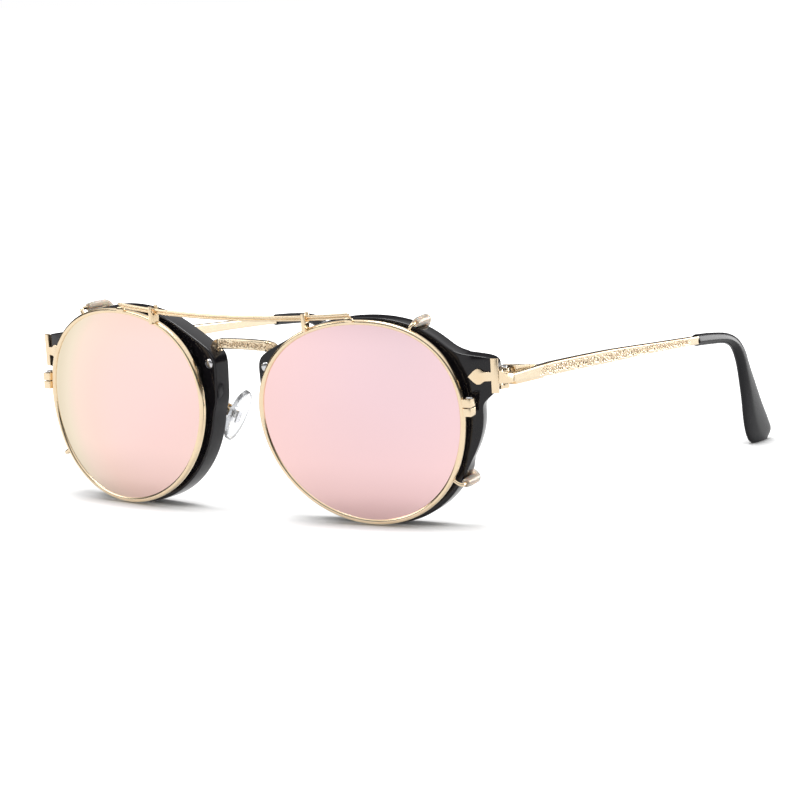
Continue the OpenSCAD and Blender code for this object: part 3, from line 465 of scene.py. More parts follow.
def joined(name, pieces):
    """One piece from several, which keep their own materials."""
    for piece in bpy.context.selected_objects:
        piece.select_set(False)
    for piece in pieces:
        piece.select_set(True)
    bpy.context.view_layer.objects.active = pieces[0]
    bpy.ops.object.join()
    pieces[0].name = name
    return pieces[0]


def seat(piece, body, slot, *nodes):
    """Puts a finished piece on its body, in the place of the solids it stands for, and hides them;
    the slot is not used.
    """
    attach(piece, body)
    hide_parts(*nodes)
    return piece


def round_corners(width, height, radius, steps=6):
    """A rectangle with round corners, as points round it, middle at 0."""
    turns = np.linspace(0, np.pi / 2, steps)
    arc = radius * np.stack([np.cos(turns), np.sin(turns)], 1)
    corners = []
    for k, (sx, sy) in enumerate(((1, 1), (-1, 1), (-1, -1), (1, -1))):
        c, s = math.cos(k * math.pi / 2), math.sin(k * math.pi / 2)
        turned = arc @ np.array([[c, s], [-s, c]])
        corners.append(turned + np.array([sx * (width / 2 - radius), sy * (height / 2 - radius)]))
    return np.vstack(corners)


def unit(ways):
    """Directions made one long."""
    return ways / np.linalg.norm(ways, axis=-1, keepdims=True)


def tube_grid(route, radii, across, sides=24):
    """Circles of the given radii square to a route; `across` is never along the route."""
    ahead = unit(np.gradient(route, axis=0))
    first = unit(np.cross(np.broadcast_to(np.asarray(across, float), route.shape), ahead))
    second = np.cross(ahead, first)
    turns = np.arange(sides) * 2 * np.pi / sides
    wheel = np.cos(turns)[:, None] * first[:, None] + np.sin(turns)[:, None] * second[:, None]
    return route[:, None] + np.asarray(radii)[:, None, None] * wheel


def domed_ends(route, radius, steps=8):
    """A route with half-round ends added: gives the longer route and its radii."""
    turns = np.linspace(0, np.pi / 2, steps)[:-1]
    height = (radius * np.cos(turns))[:, None]
    head = route[0] + unit(route[0] - route[1]) * height
    tail = (route[-1] + unit(route[-1] - route[-2]) * height)[::-1]
    small = np.maximum(radius * np.sin(turns), 1e-4)
    radii = np.concatenate([small, np.full(len(route), radius), small[::-1]])
    return np.vstack([head, route, tail]), radii


def mirrored(points, sign):
    """Points of the wearer's left side, or their mirror image on the right."""
    return points * np.array([sign, 1.0, 1.0])


# %% [markdown]
# ## The rim's outline
# All four rings of a side, the black rim, its hole, the wire and the mirror lens, follow one
# shape: a circle that is a little flat along the brow and drawn in at the nose. Tracing it would
# give a jagged line. Four gentle waves on the radius give the same shape, smooth at any density,
# and the other rings are that shape grown along its own normals.

# %% The rim's outline
EYE_W, EYE_H = 48.0, 43.3      # the opening
EYE_X, EYE_Z = 35.25, 25.1978  # its middle, from the object's middle and from the ground
WRAP, TILT = math.radians(8.0), math.radians(3.0)
RIM_FRONT, RIM_BACK = 3.2, 8.0                     # depths behind the clip's plane
RIM_WIDE, RIM_LIP = 3.1, 0.7                       # the black ring over and into the opening
CLIP_IN, CLIP_LENS, CLIP_OUT = 1.5, 2.0, 2.8       # the wire's and the mirror lens's growth
SWELL, SWELL_AT, SWELL_HALF = 1.9, 2.0, 32.0       # the ring's bulge: height, and degrees
OUTLINE_STEPS = 640
END_U, NOSE_U = EYE_W / 2 + 9.1, -EYE_W / 2 - 5.0  # how far the front reaches either way
BEND_FROM, BEND_L, END_BEND = EYE_W / 2 + 0.4, 1.5, math.radians(12.0)

around = np.arange(OUTLINE_STEPS) * 2 * np.pi / OUTLINE_STEPS
wave = (1 - 0.013 * np.sin(2 * around) - 0.016 * np.cos(3 * around)
        + 0.024 * np.sin(3 * around) - 0.011 * np.cos(4 * around))
eye = np.stack([wave * np.cos(around), wave * np.sin(around)], 1)
eye *= np.array([EYE_W, EYE_H]) / (eye.max(0) - eye.min(0))


def grown(outline, by):
    """The outline moved outwards along its own normals."""
    along = unit(np.roll(outline, -1, 0) - np.roll(outline, 1, 0))
    return outline + by * np.stack([along[:, 1], -along[:, 0]], 1)


def line_reach(way, a, b):
    """How far the line through a and b is from the middle, in each direction of way."""
    across = np.array([b[1] - a[1], a[0] - b[0]])
    across = across if across @ np.array(a) > 0 else -across
    facing = way @ across
    reach = across @ np.array(a) / np.maximum(facing, 1e-9)
    return np.where(facing > 0.02 * np.linalg.norm(across), reach, 1000.0)


def soft_min(values, power=24.0):
    """The smallest value, with the change from one to the next rounded."""
    return sum(v ** -power for v in values) ** (-1 / power)


def soft_max(values, power=24.0):
    """The largest value, with the change from one to the next rounded."""
    return sum(v ** power for v in values) ** (1 / power)


def toward(way, sign, from_share=0.1, to_share=0.4):
    """How far a direction leans to one side, as a smooth step between the two shares."""
    step = np.clip((sign * way[:, 0] - from_share) / (to_share - from_share), 0, 1)
    return step * step * (3 - 2 * step)


base = grown(eye, RIM_WIDE) + np.array([0.5, -0.4])
reach = np.linalg.norm(base, axis=1)
way = base / reach[:, None]
off = np.abs(np.degrees(np.arctan2(way[:, 1], way[:, 0])) - SWELL_AT)
swell = np.where(off < SWELL_HALF, SWELL * np.cos(np.radians(90 * off / SWELL_HALF)) ** 2, 0.0)
end_piece = 1 + toward(way, 1) * (soft_min([
    line_reach(way, (END_U, 14.7), (END_U - 10, 15.9)),
    line_reach(way, (END_U, 0.0), (END_U, 10.0)),
    line_reach(way, (END_U, 7.0), (END_U - 2.7, 5.2))]) - 1)
ledge = 1 + toward(way, -1) * (soft_min([
    line_reach(way, (NOSE_U + 7, 17.4), (NOSE_U + 0.2, 13.6)),
    line_reach(way, (NOSE_U + 7.5, 18.0), (NOSE_U + 17.5, 20.0)),
    line_reach(way, (NOSE_U, 13.5), (NOSE_U + 1.4, 0.0)),
    line_reach(way, (NOSE_U + 1, 1.0), (NOSE_U + 5, -2.0))]) - 1)
front_edge = way * soft_max([reach + swell, end_piece, ledge])[:, None]
rim_hole = grown(eye, -RIM_LIP)
clip_in, clip_lens_edge, clip_out = (grown(eye, by) for by in (CLIP_IN, CLIP_LENS, CLIP_OUT))


def bent(u, d):
    """Rim points (u, depth), turned back on an arc where the rim runs into its end piece."""
    u, d = np.asarray(u, float), np.asarray(d, float)
    radius = BEND_L / END_BEND
    angle = END_BEND * np.clip((u - BEND_FROM) / BEND_L, 0, 1)
    past = np.maximum(u - BEND_FROM - BEND_L, 0)
    inner = radius - (d - RIM_FRONT)
    out_u = BEND_FROM + inner * np.sin(angle) + past * math.cos(END_BEND)
    out_d = RIM_FRONT + radius - inner * np.cos(angle) + past * math.sin(END_BEND)
    return np.where(u < BEND_FROM, u, out_u), np.where(u < BEND_FROM, d, out_d)


def placed(u, d, w, sign):
    """Row-frame points, in millimetres, of rim points (u, w) at depth d, on one side."""
    q = d * math.cos(TILT) - w * math.sin(TILT)
    x = EYE_X + u * math.cos(WRAP) - q * math.sin(WRAP)
    y = u * math.sin(WRAP) + q * math.cos(WRAP) - GROUND_MIDDLE
    z = EYE_Z + d * math.sin(TILT) + w * math.cos(TILT)
    return np.stack([sign * x, y, z], -1)


print("rim outline mm", np.ptp(front_edge, axis=0).round(2))

# %% [markdown]
# ## Black rims
# A rim is cut from a slab and tumbled until its edges are soft, so light runs along them as a
# thin line. A bevel on the solid would do it roughly. Here the ring is drawn from its real cross
# section, a bar with round corners and a faint crown, whose width follows the two outlines.

# %% Black rims
def rim_section(width, outer=0.42, inner=0.35, crown=0.06, steps=7):
    """Points round a rim's cross section of this width, (how far in, depth).

    The outer and inner corners are quarter circles, and the front is raised a little in the middle.
    """
    turns = np.linspace(0, np.pi / 2, steps)
    c, s = 1 - np.cos(turns), 1 - np.sin(turns)
    back_out = np.stack([outer * c, RIM_BACK - outer * s], 1)
    back_in = np.stack([width - inner * s, RIM_BACK - inner * c], 1)
    front_in = np.stack([width - inner * c, RIM_FRONT + inner * s], 1)
    front_out = np.stack([outer * s, RIM_FRONT + outer * c], 1)
    middle, rear = [[width / 2, RIM_FRONT - crown]], [[width / 2, RIM_BACK]]
    return np.vstack([back_out, rear, back_in, front_in, middle, front_out])


def build_rim(side, sign):
    """The black ring of one side, flat where it rests on the ground."""
    gap = rim_hole - front_edge
    width = np.linalg.norm(gap, axis=1)
    inward = gap / width[:, None]
    sections = np.stack([rim_section(w) for w in width])
    flat = front_edge[:, None] + inward[:, None] * sections[..., :1]
    u, depth = bent(flat[..., 0], sections[..., 1])
    grid = placed(u, depth, flat[..., 1], sign)
    grid[..., 2] = np.maximum(grid[..., 2], 0.0)
    piece = grid_piece(f"black_rim_{side}", grid, gloss_black, wrap_rows=True, smooth_angle=40.0)
    return seat(piece, "front", "black_plastic", f"rim_{side}")


for side, sign in SIDES.items():
    rim = build_rim(side, sign)
print("rim faces", len(rim.data.polygons))

# %% [markdown]
# ## Lenses
# A sunglass lens is a thin piece of a big sphere. The solid has that shape but only a few hundred
# facets, and a mirror shows every one of them. Rings of points that shrink to the middle, each
# lifted onto the sphere, give a reflection without kinks.

# %% Lenses
CLEAR_R, CLEAR_T, CLEAR_AT = 180.0, 1.5, 4.85      # ball, thickness, depth at the edge
MIRROR_R, MIRROR_T, MIRROR_AT = 265.0, 0.9, -0.45
MIRROR_GROWTH = 8.0            # width and height together, over those of the opening


def lens_grid(edge, radius, thickness, edge_depth, growth, sign, rings=40):
    """Front and back of a domed lens: two balls with one middle, cut off at the outline `edge`.

    The front of the middle lies before edge_depth by the mean radius squared over two ball radii.
    """
    front_depth = edge_depth - (EYE_W + EYE_H + growth) ** 2 / 32 / radius
    shares = np.linspace(1e-4, 1.0, rings)
    flat = edge[None] * shares[:, None, None]
    reach = np.sum(flat ** 2, -1)
    front = front_depth + radius - np.sqrt(radius ** 2 - reach)
    back = front_depth + radius - np.sqrt((radius - thickness) ** 2 - reach)
    points = np.vstack([flat, flat[::-1]])
    depth = np.vstack([front, back[::-1]])
    return placed(points[..., 0], depth, points[..., 1], sign)


def build_lenses(side, sign):
    """The clear lens in its groove, and the mirror lens in the clip's wire."""
    grid = lens_grid(eye, CLEAR_R, CLEAR_T, CLEAR_AT, 0.0, sign)
    clear_piece = grid_piece(f"clear_lens_{side}", grid, clear_lens_finish, smooth_angle=30.0)
    seat(clear_piece, "front", "clear_lens", f"clear_lens_{side}")
    grid = lens_grid(clip_lens_edge, MIRROR_R, MIRROR_T, MIRROR_AT, MIRROR_GROWTH, sign)
    coat = mirror_finish(f"rose_mirror_{side}", *MIRRORS[side])
    mirror_piece = grid_piece(f"mirror_lens_{side}", grid, [coat, lens_back], smooth_angle=30.0)
    for face in mirror_piece.data.polygons:
        face.material_index = 0 if face.normal.y < -0.5 else 1
    seat(mirror_piece, "clip", "mirror_lens", f"mirror_lens_{side}")
    return mirror_piece


for side, sign in SIDES.items():
    mirror_piece = build_lenses(side, sign)
print("mirror lens mm", [round(v / MM, 1) for v in mirror_piece.dimensions])

# %% [markdown]
# ## The clip's wire rims
# The wire is drawn with a groove for the lens and rolled round, so it shows a bright rounded face
# and a dark line where it meets the lens. The groove itself is hidden, so the ring needs only its
# outer form and the small step at the lens.

# %% The clip's wire rims
WIRE_DEPTH = 1.7


def build_wire_rim(side, sign):
    """The gold wire ring round one mirror lens: a rounded section carried round the outline."""
    width = CLIP_OUT - CLIP_IN
    section = round_corners(width, WIRE_DEPTH, 0.6, 9) + np.array([width / 2, 0.0])
    inward = unit(clip_in - clip_out)
    flat = clip_out[:, None] + inward[:, None] * section[None, :, :1]
    grid = placed(flat[..., 0], section[None, :, 1], flat[..., 1], sign)
    piece = grid_piece(f"clip_wire_{side}", grid, gold, wrap_rows=True, smooth_angle=60.0)
    return seat(piece, "clip", "gold", f"clip_rim_{side}")


for side, sign in SIDES.items():
    build_wire_rim(side, sign)

# %% [markdown]
# ## Brow bar
# Two springy wires lie one above the other, bowed forward between the lenses, and are soldered
# to the wire rims at their ends. They are circles in one slanted plane, so each is a short arc
# carried by a round section.

# %% Brow bar
BROW_PLANE = math.radians(30.0)
BROW_BOW, STRAND_GAP, STRAND_R = 3.0, 0.8, 0.34
brow_end = np.array([33.9877, -2.60458 - GROUND_MIDDLE, 50.0421])
brow_r = (brow_end[0] ** 2 + BROW_BOW ** 2) / (2 * BROW_BOW)
plane_way = np.array([0.0, -math.cos(BROW_PLANE), -math.sin(BROW_PLANE)])
stack_way = np.array([0.0, -math.sin(BROW_PLANE), math.cos(BROW_PLANE)])
half_turn = math.asin(brow_end[0] / brow_r)
arc_turns = np.linspace(-half_turn, half_turn, 90)
centre = np.array([0.0, brow_end[1], brow_end[2]]) - plane_way * (brow_r - BROW_BOW)
bow = centre + brow_r * (np.sin(arc_turns)[:, None] * np.array([1.0, 0, 0])
                         + np.cos(arc_turns)[:, None] * plane_way)
strands = []
for k, offset in enumerate((-0.5, 0.5)):
    route, radii = domed_ends(bow + offset * STRAND_GAP * stack_way, STRAND_R)
    strands.append(grid_piece(f"strand_{k}", tube_grid(route, radii, stack_way, 20), gold))
for sign in SIDES.values():
    foot = mirrored(brow_end, sign) + np.array([-sign * 0.2, 0.1, -1.0])
    section = round_corners(2.2, 1.0, 0.35, 5)
    rows = [np.column_stack([foot[:2] + grow * section, np.full(len(section), foot[2] + z)])
            for z, grow in ((-0.55, 0.9), (-0.35, 1.0), (0.2, 1.0), (0.5, 0.8))]
    strands.append(grid_piece("solder", np.array(rows), gold))
brow_bar = joined("brow_wires", strands)
seat(brow_bar, "clip", "gold", "brow_bar")
print("brow bar mm", [round(v / MM, 1) for v in brow_bar.dimensions])

# %% [markdown]
# ## Hooks and sleeves
# Each hook is a stub of wire that leaves the rim, bends back over the black front and turns down
# behind it, in a soft milky sleeve that keeps it from scratching. The route is two quarter turns
# and three straights, the same as the solid's, and the sleeve gets a rounded closed tip.

# %% Hooks and sleeves
HOOK_R, SLEEVE_R, HOOK_BEND, HOOK_TURN = 0.45, 1.15, 0.9, 1.4
HOOK_GAP = 0.1                 # the play between a sleeve and the black front
HOOK_BACK = RIM_BACK + HOOK_GAP + SLEEVE_R
SLEEVE_FROM = 2.5              # the depth at which the sleeve starts
UPPER_HOOK, LOWER_HOOK = 59.0, -31.0


def radius_at(outline, angle):
    """How far an outline is from the middle in one direction, by reading between its points."""
    turns = np.arctan2(outline[:, 1], outline[:, 0])
    reach = np.linalg.norm(outline, axis=1)
    return float(np.interp(angle, turns, reach, period=2 * np.pi))


def build_hook(name, side, sign, degrees):
    """One hook with its sleeve, in the direction given in degrees up from the temple side."""
    angle = math.radians(degrees)
    edge = radius_at(front_edge, angle)
    out = edge + HOOK_GAP + SLEEVE_R
    lift = np.linspace(0, np.pi / 2, 10)
    rise = np.stack([out - HOOK_BEND * (1 - np.sin(lift)), HOOK_BEND * (1 - np.cos(lift))], 1)
    fall = np.stack([out - HOOK_TURN * (1 - np.cos(lift)),
                     HOOK_BACK - HOOK_TURN * (1 - np.sin(lift))], 1)

    def curve(parts):
        line = np.vstack(parts)
        return placed(line[:, 0] * math.cos(angle), line[:, 1], line[:, 0] * math.sin(angle), sign)

    across = (placed(0.0, 0.0, 0.0, sign)
              - placed(math.sin(angle), 0.0, -math.cos(angle), sign))
    line = curve([[[radius_at(clip_out, angle) - 0.3, 0.0]], rise, fall, [[edge - 0.8, HOOK_BACK]]])
    hook = grid_piece(f"{name}_hook_{side}",
                      tube_grid(line, np.full(len(line), HOOK_R), across, 20), gold)
    seat(hook, "clip", "gold", f"{name}_hook_{side}")
    line = curve([[[out, SLEEVE_FROM]], [[out, 4.5]], fall, [[edge - 0.7, HOOK_BACK]]])
    turns = np.linspace(0, np.pi / 2, 8)[1:]
    tip = line[-1] + unit(line[-1] - line[-2]) * (0.75 * np.sin(turns))[:, None]
    route = np.vstack([line, tip])
    radii = SLEEVE_R * np.concatenate([[0.86, 1.02], np.ones(len(line) - 2), np.cos(turns)])
    radii = np.maximum(radii, 1e-3)
    sleeve = grid_piece(f"{name}_sleeve_{side}", tube_grid(route, radii, across, 24), sleeve_finish)
    seat(sleeve, "clip", "sleeve", f"{name}_sleeve_{side}")


for side, sign in SIDES.items():
    build_hook("upper", side, sign, UPPER_HOOK)
    build_hook("lower", side, sign, LOWER_HOOK)

# %% [markdown]
# ## Temples
# A temple is a flat gold bar whose outer face is cut with a row of scrolls. It could be a bump in
# the material, but the bar is seen close and the light catches the real edges, so the face is a
# fine grid and the ornament moves its points. How deep a point lies is stored as `hollow`, which
# the engraved finish reads to darken the cut lines, and a painted shade along the upper outer
# corner is stored there as well.

# %% Temples
HINGE = np.array([64.1993, 15.8484 - GROUND_MIDDLE, 34.471])
TEMPLE_IN, TEMPLE_T, TEMPLE_H, TEMPLE_L, TEMPLE_DROP = 1.75, 1.7, 3.2, 91.2, 3.0
TEMPLE_CORNER = 0.32
CUT_FROM, CUT_TO, CUT_DEPTH = 11.5, 88.0, 0.12     # the engraved stretch, behind the hinge
LINE_R, BUD_R = 0.11, 0.16     # how wide the engraver's lines and buds are
TOP_EDGE_SHADE = 0.7                  # how dark the painted shade along the upper corner is, as a share of a cut's dark
BAR_STATIONS = np.array([[-0.6, 0.31], [5.4, 0.36], [17.4, 0.5], [45.4, 0.5], [70.4, 0.38],
                         [92.4, 0.34]])            # distance behind the hinge, share of height


def temple_middle(y):
    """Height of the bar's middle line over the hinge's middle, at distance y behind the hinge."""
    return 0.25 - TEMPLE_DROP * (np.maximum(y, 0) / TEMPLE_L) ** 1.6


def temple_half_height(y):
    """Half the bar's height at distance y behind the hinge."""
    return TEMPLE_H * np.interp(y * BAR_STATIONS[-1, 0] / TEMPLE_L, *BAR_STATIONS.T)


def scrolls(along, up, start, end, half):
    """Depth from 0 to 1 of scrolls cut in a row from start to end, `half` high either way.

    Each scroll is a spiral line whose radius grows evenly with its turn, with two buds beside it;
    their sizes, hands and heights are uneven, as in engraving done by eye.
    """
    fate = np.random.default_rng(7)
    depth = np.zeros(np.broadcast(along, up).shape)
    at = start
    while at < end:
        band = float(np.interp(at, *half)) if isinstance(half, tuple) else half
        size = band * fate.uniform(0.7, 1.05)
        hand, first = fate.choice([-1.0, 1.0]), fate.uniform(0, 2 * np.pi)
        dx, dy = along - at, up - band * fate.uniform(-0.35, 0.35)
        away, turn = np.hypot(dx, dy), (hand * np.arctan2(dy, dx) - first) % (2 * np.pi)
        for lap in range(2):
            ring = size * (turn + 2 * np.pi * lap) / 9.0
            cut = np.exp(-((away - ring) / LINE_R) ** 2) * (ring < size)
            depth = np.maximum(depth, cut * (0.75 + 0.25 * np.cos(3 * turn)))
        for step in (0.8, 1.1):
            bud = np.hypot(dx - size * step, dy - fate.uniform(-0.7, 0.7) * band)
            depth = np.maximum(depth, np.exp(-(bud / BUD_R) ** 2))
        at += size * fate.uniform(0.95, 1.3)
    return depth


def build_temple(side, sign):
    """The metal bar of one temple, with the scrolls cut into its outer face."""
    ys = np.concatenate([np.linspace(-0.6, CUT_FROM, 50), np.linspace(CUT_FROM + 0.1, CUT_TO, 860),
                         np.linspace(CUT_TO + 0.2, TEMPLE_L, 16)])
    flat_half = temple_half_height(ys) - TEMPLE_CORNER
    shares = np.linspace(-1, 1, 34)
    turns = np.linspace(0, np.pi / 2, 5)[1:-1]
    outer_x = TEMPLE_IN + TEMPLE_T
    face_up = shares[None] * flat_half[:, None]
    fade = np.clip((ys - CUT_FROM + 1.5) / 4.0, 0, 1) * np.clip((CUT_TO - 1 - ys) / 2.0, 0, 1)
    edge_fade = np.clip((1 - np.abs(shares)) / 0.1, 0, 1)
    hollow = (fade[:, None] * edge_fade[None]
              * scrolls(ys[:, None], face_up, CUT_FROM, CUT_TO, (ys, flat_half)))
    face = np.stack([outer_x - CUT_DEPTH * hollow, face_up], -1)
    inner_up = face_up[:, ::-3]
    inner = np.stack([np.full_like(inner_up, TEMPLE_IN), inner_up], -1)

    def corner_points(corner_x, up_sign, start):
        x = corner_x + TEMPLE_CORNER * np.cos(start + turns)
        up = up_sign * flat_half[:, None] + TEMPLE_CORNER * np.sin(start + turns)[None]
        return np.stack([np.broadcast_to(x[None], up.shape), up], -1)

    right_x, left_x = outer_x - TEMPLE_CORNER, TEMPLE_IN + TEMPLE_CORNER
    section = np.concatenate([
        face, corner_points(right_x, 1, 0), corner_points(left_x, 1, np.pi / 2), inner,
        corner_points(left_x, -1, np.pi), corner_points(right_x, -1, 1.5 * np.pi)], 1)
    depth = np.zeros(section.shape[:2])
    depth[:, :len(shares)] = hollow
    depth[:, len(shares):len(shares) + len(turns)] = TOP_EDGE_SHADE * fade[:, None]   # painted shade along the upper outer corner
    grid = np.stack([section[..., 0], np.broadcast_to(ys[:, None], section.shape[:2]),
                     temple_middle(ys)[:, None] + section[..., 1]], -1)
    piece = grid_piece(f"temple_bar_{side}", mirrored(grid + HINGE, sign), carved_gold_and_shade,
                       smooth_angle=60.0)
    set_patina_and_shade(piece, depth)
    return seat(piece, f"temple_{side}", "gold", f"temple_{side}")


for side, sign in SIDES.items():
    temple = build_temple(side, sign)
print("temple faces", len(temple.data.polygons))

# %% [markdown]
# ## Temple tips
# The tips are dipped black sleeves: they start as a plump oval over the core wire, bend down
# behind the ear and widen into a flat paddle. A subdivided box drifts off its size when it is
# smoothed, so the tip is a curve through measured stations with an oval section at each.

# %% Temple tips
TIP_T = 2.7
TIP_X = TEMPLE_IN + TEMPLE_T / 2 - 0.1
RIDGE, RIDGE_AT = 0.32, 0.25   # the ridge down the outer face: how steep, how far off the middle
tip_top = HINGE[2] + float(temple_middle(TEMPLE_L))
# Lower and upper edge, each (distance behind the bar's end, share of its height), and thickness.
tip_stations = np.array([
    [0.1, 0.951, 0.1, 1.049, 1], [8, 0.934, 8, 1.03, 1], [15, 0.914, 16, 0.999, 1],
    [18.6, 0.883, 21.1, 0.955, 1], [21.1, 0.832, 24.7, 0.893, 1], [23.1, 0.73, 27.6, 0.802, 1],
    [24.4, 0.609, 29.6, 0.69, 1], [25.9, 0.39, 33.3, 0.507, 1], [27, 0.175, 37, 0.323, 1],
    [28.9, 0.045, 40.6, 0.165, 0.95], [32, -0.012, 42.1, 0.075, 0.8],
    [35.5, -0.018, 40.2, 0.01, 0.5]])


def through_stations(stations, per_span):
    """A smooth curve through every row of stations, with per_span points from one to the next.

    Each span is a cubic whose slope at a station is half the step between its two neighbours.
    """
    padded = np.vstack([stations[:1], stations, stations[-1:]])
    a, b, c, d = (padded[k:len(padded) - 3 + k, None] for k in range(4))
    t = (np.arange(per_span) / per_span)[None, :, None]
    spans = 0.5 * (2 * b + (c - a) * t + (2 * a - 5 * b + 4 * c - d) * t ** 2
                   + (3 * b - a - 3 * c + d) * t ** 3)
    return np.vstack([spans.reshape(-1, stations.shape[1]), stations[-1:]])


def squared_round(wave, power=0.92):
    """A sine or cosine pushed out a little, so that the oval it draws is fuller."""
    return np.sign(wave) * np.abs(wave) ** power


def build_tip(side, sign):
    """The black tip of one temple, flat where it rests on the ground."""
    rings = through_stations(tip_stations, 10)
    low = np.stack([rings[:, 0], rings[:, 1] * tip_top], 1)
    high = np.stack([rings[:, 2], rings[:, 3] * tip_top], 1)
    middle, half = (low + high) / 2, (high - low) / 2
    turns = np.arange(48) * 2 * np.pi / 48
    wide, thick = squared_round(np.cos(turns)), squared_round(np.sin(turns))
    thick = thick * np.where(thick > 0, 1.0 - RIDGE * np.abs(wide + RIDGE_AT), 1.0)
    flat = middle[:, None] + half[:, None] * wide[None, :, None]
    x = TIP_X + TIP_T / 2 * rings[:, 4, None] * thick[None]
    grid = np.stack([x + HINGE[0], flat[..., 0] + HINGE[1] + TEMPLE_L, flat[..., 1]], -1)
    start = grid[0].mean(0) + (grid[0] - grid[0].mean(0)) * 0.8
    grid = np.concatenate([start[None] - np.array([0, 0.05, 0]), grid])
    grid[1] = grid[1] * 0.5 + (grid[1].mean(0) + (grid[1] - grid[1].mean(0)) * 0.94) * 0.5
    grid[..., 2] = np.maximum(grid[..., 2], 0.0)
    end = grid[-1].mean(0)
    grid = np.concatenate([grid, (end + (grid[-1] - end) * 0.5)[None]])
    piece = grid_piece(f"black_tip_{side}", mirrored(grid, sign), satin_black, smooth_angle=60.0)
    return seat(piece, f"temple_{side}", "black_tip", f"temple_tip_{side}")


for side, sign in SIDES.items():
    tip = build_tip(side, sign)
print("tip mm", [round(v / MM, 1) for v in tip.dimensions])

# %% [markdown]
# ## Bridge
# The bridge is a cast bar with scrolls struck into its front and top, and it stands on a small
# round boss at each rim. The bar is a grid along x with the ornament in its points, and the bosses
# are turned shapes.

# %% Bridge
BRIDGE_Y, BRIDGE_Z = 2.3403 - GROUND_MIDDLE, 41.3978
BAR_HALF, BRIDGE_H, BRIDGE_T, BRIDGE_ARCH, BAR_ROUND, BAR_CORNER = 9.5026, 2.5, 2.2, 0.9, 1.7, 0.4
BAR_ENGRAVED = 6.9             # the scrolls stop here, and the plain textured feet start
FOOT_U, TANG_MID = NOSE_U + 2.55, (RIM_FRONT + RIM_BACK) / 2 + 0.9   # where a foot stands
bridge_r = BAR_HALF ** 2 / 2 / BRIDGE_ARCH


def turned_piece(name, profile, base, axis, material, sides=36):
    """A shape of revolution: profile holds (radius, height) pairs up the axis from base."""
    axis = unit(np.asarray(axis, float))
    helper = np.array([1.0, 0, 0]) if abs(axis[0]) < 0.8 else np.array([0, 1.0, 0])
    first = unit(np.cross(axis, helper))
    second = np.cross(axis, first)
    turns = np.arange(sides) * 2 * np.pi / sides
    wheel = np.cos(turns)[:, None] * first + np.sin(turns)[:, None] * second
    profile = np.asarray(profile, float)
    radii = np.maximum(profile[:, 0], 1e-4)
    grid = np.asarray(base) + profile[:, 1, None, None] * axis + radii[:, None, None] * wheel[None]
    return grid_piece(name, grid, material, smooth_angle=45.0)


def bar_section(face_columns=34, corner_steps=6):
    """The bar's section: each point's share of the half thickness and height, and arc offset."""
    turns = np.linspace(0, np.pi / 2, corner_steps)
    signs, arcs = [], []
    for k, (st, sh) in enumerate(((1, 1), (-1, 1), (-1, -1), (1, -1))):
        angle = k * np.pi / 2 + turns
        signs.append(np.tile([st, sh], (corner_steps, 1)))
        arcs.append(BAR_CORNER * np.stack([np.cos(angle), np.sin(angle)], 1))
        if k == 1:
            inside = np.linspace(1, -1, face_columns + 2)[1:-1]
            signs.append(np.stack([np.full(face_columns, -1.0), inside], 1))
            arcs.append(np.tile([-BAR_CORNER, 0.0], (face_columns, 1)))
    return np.vstack(signs), np.vstack(arcs)


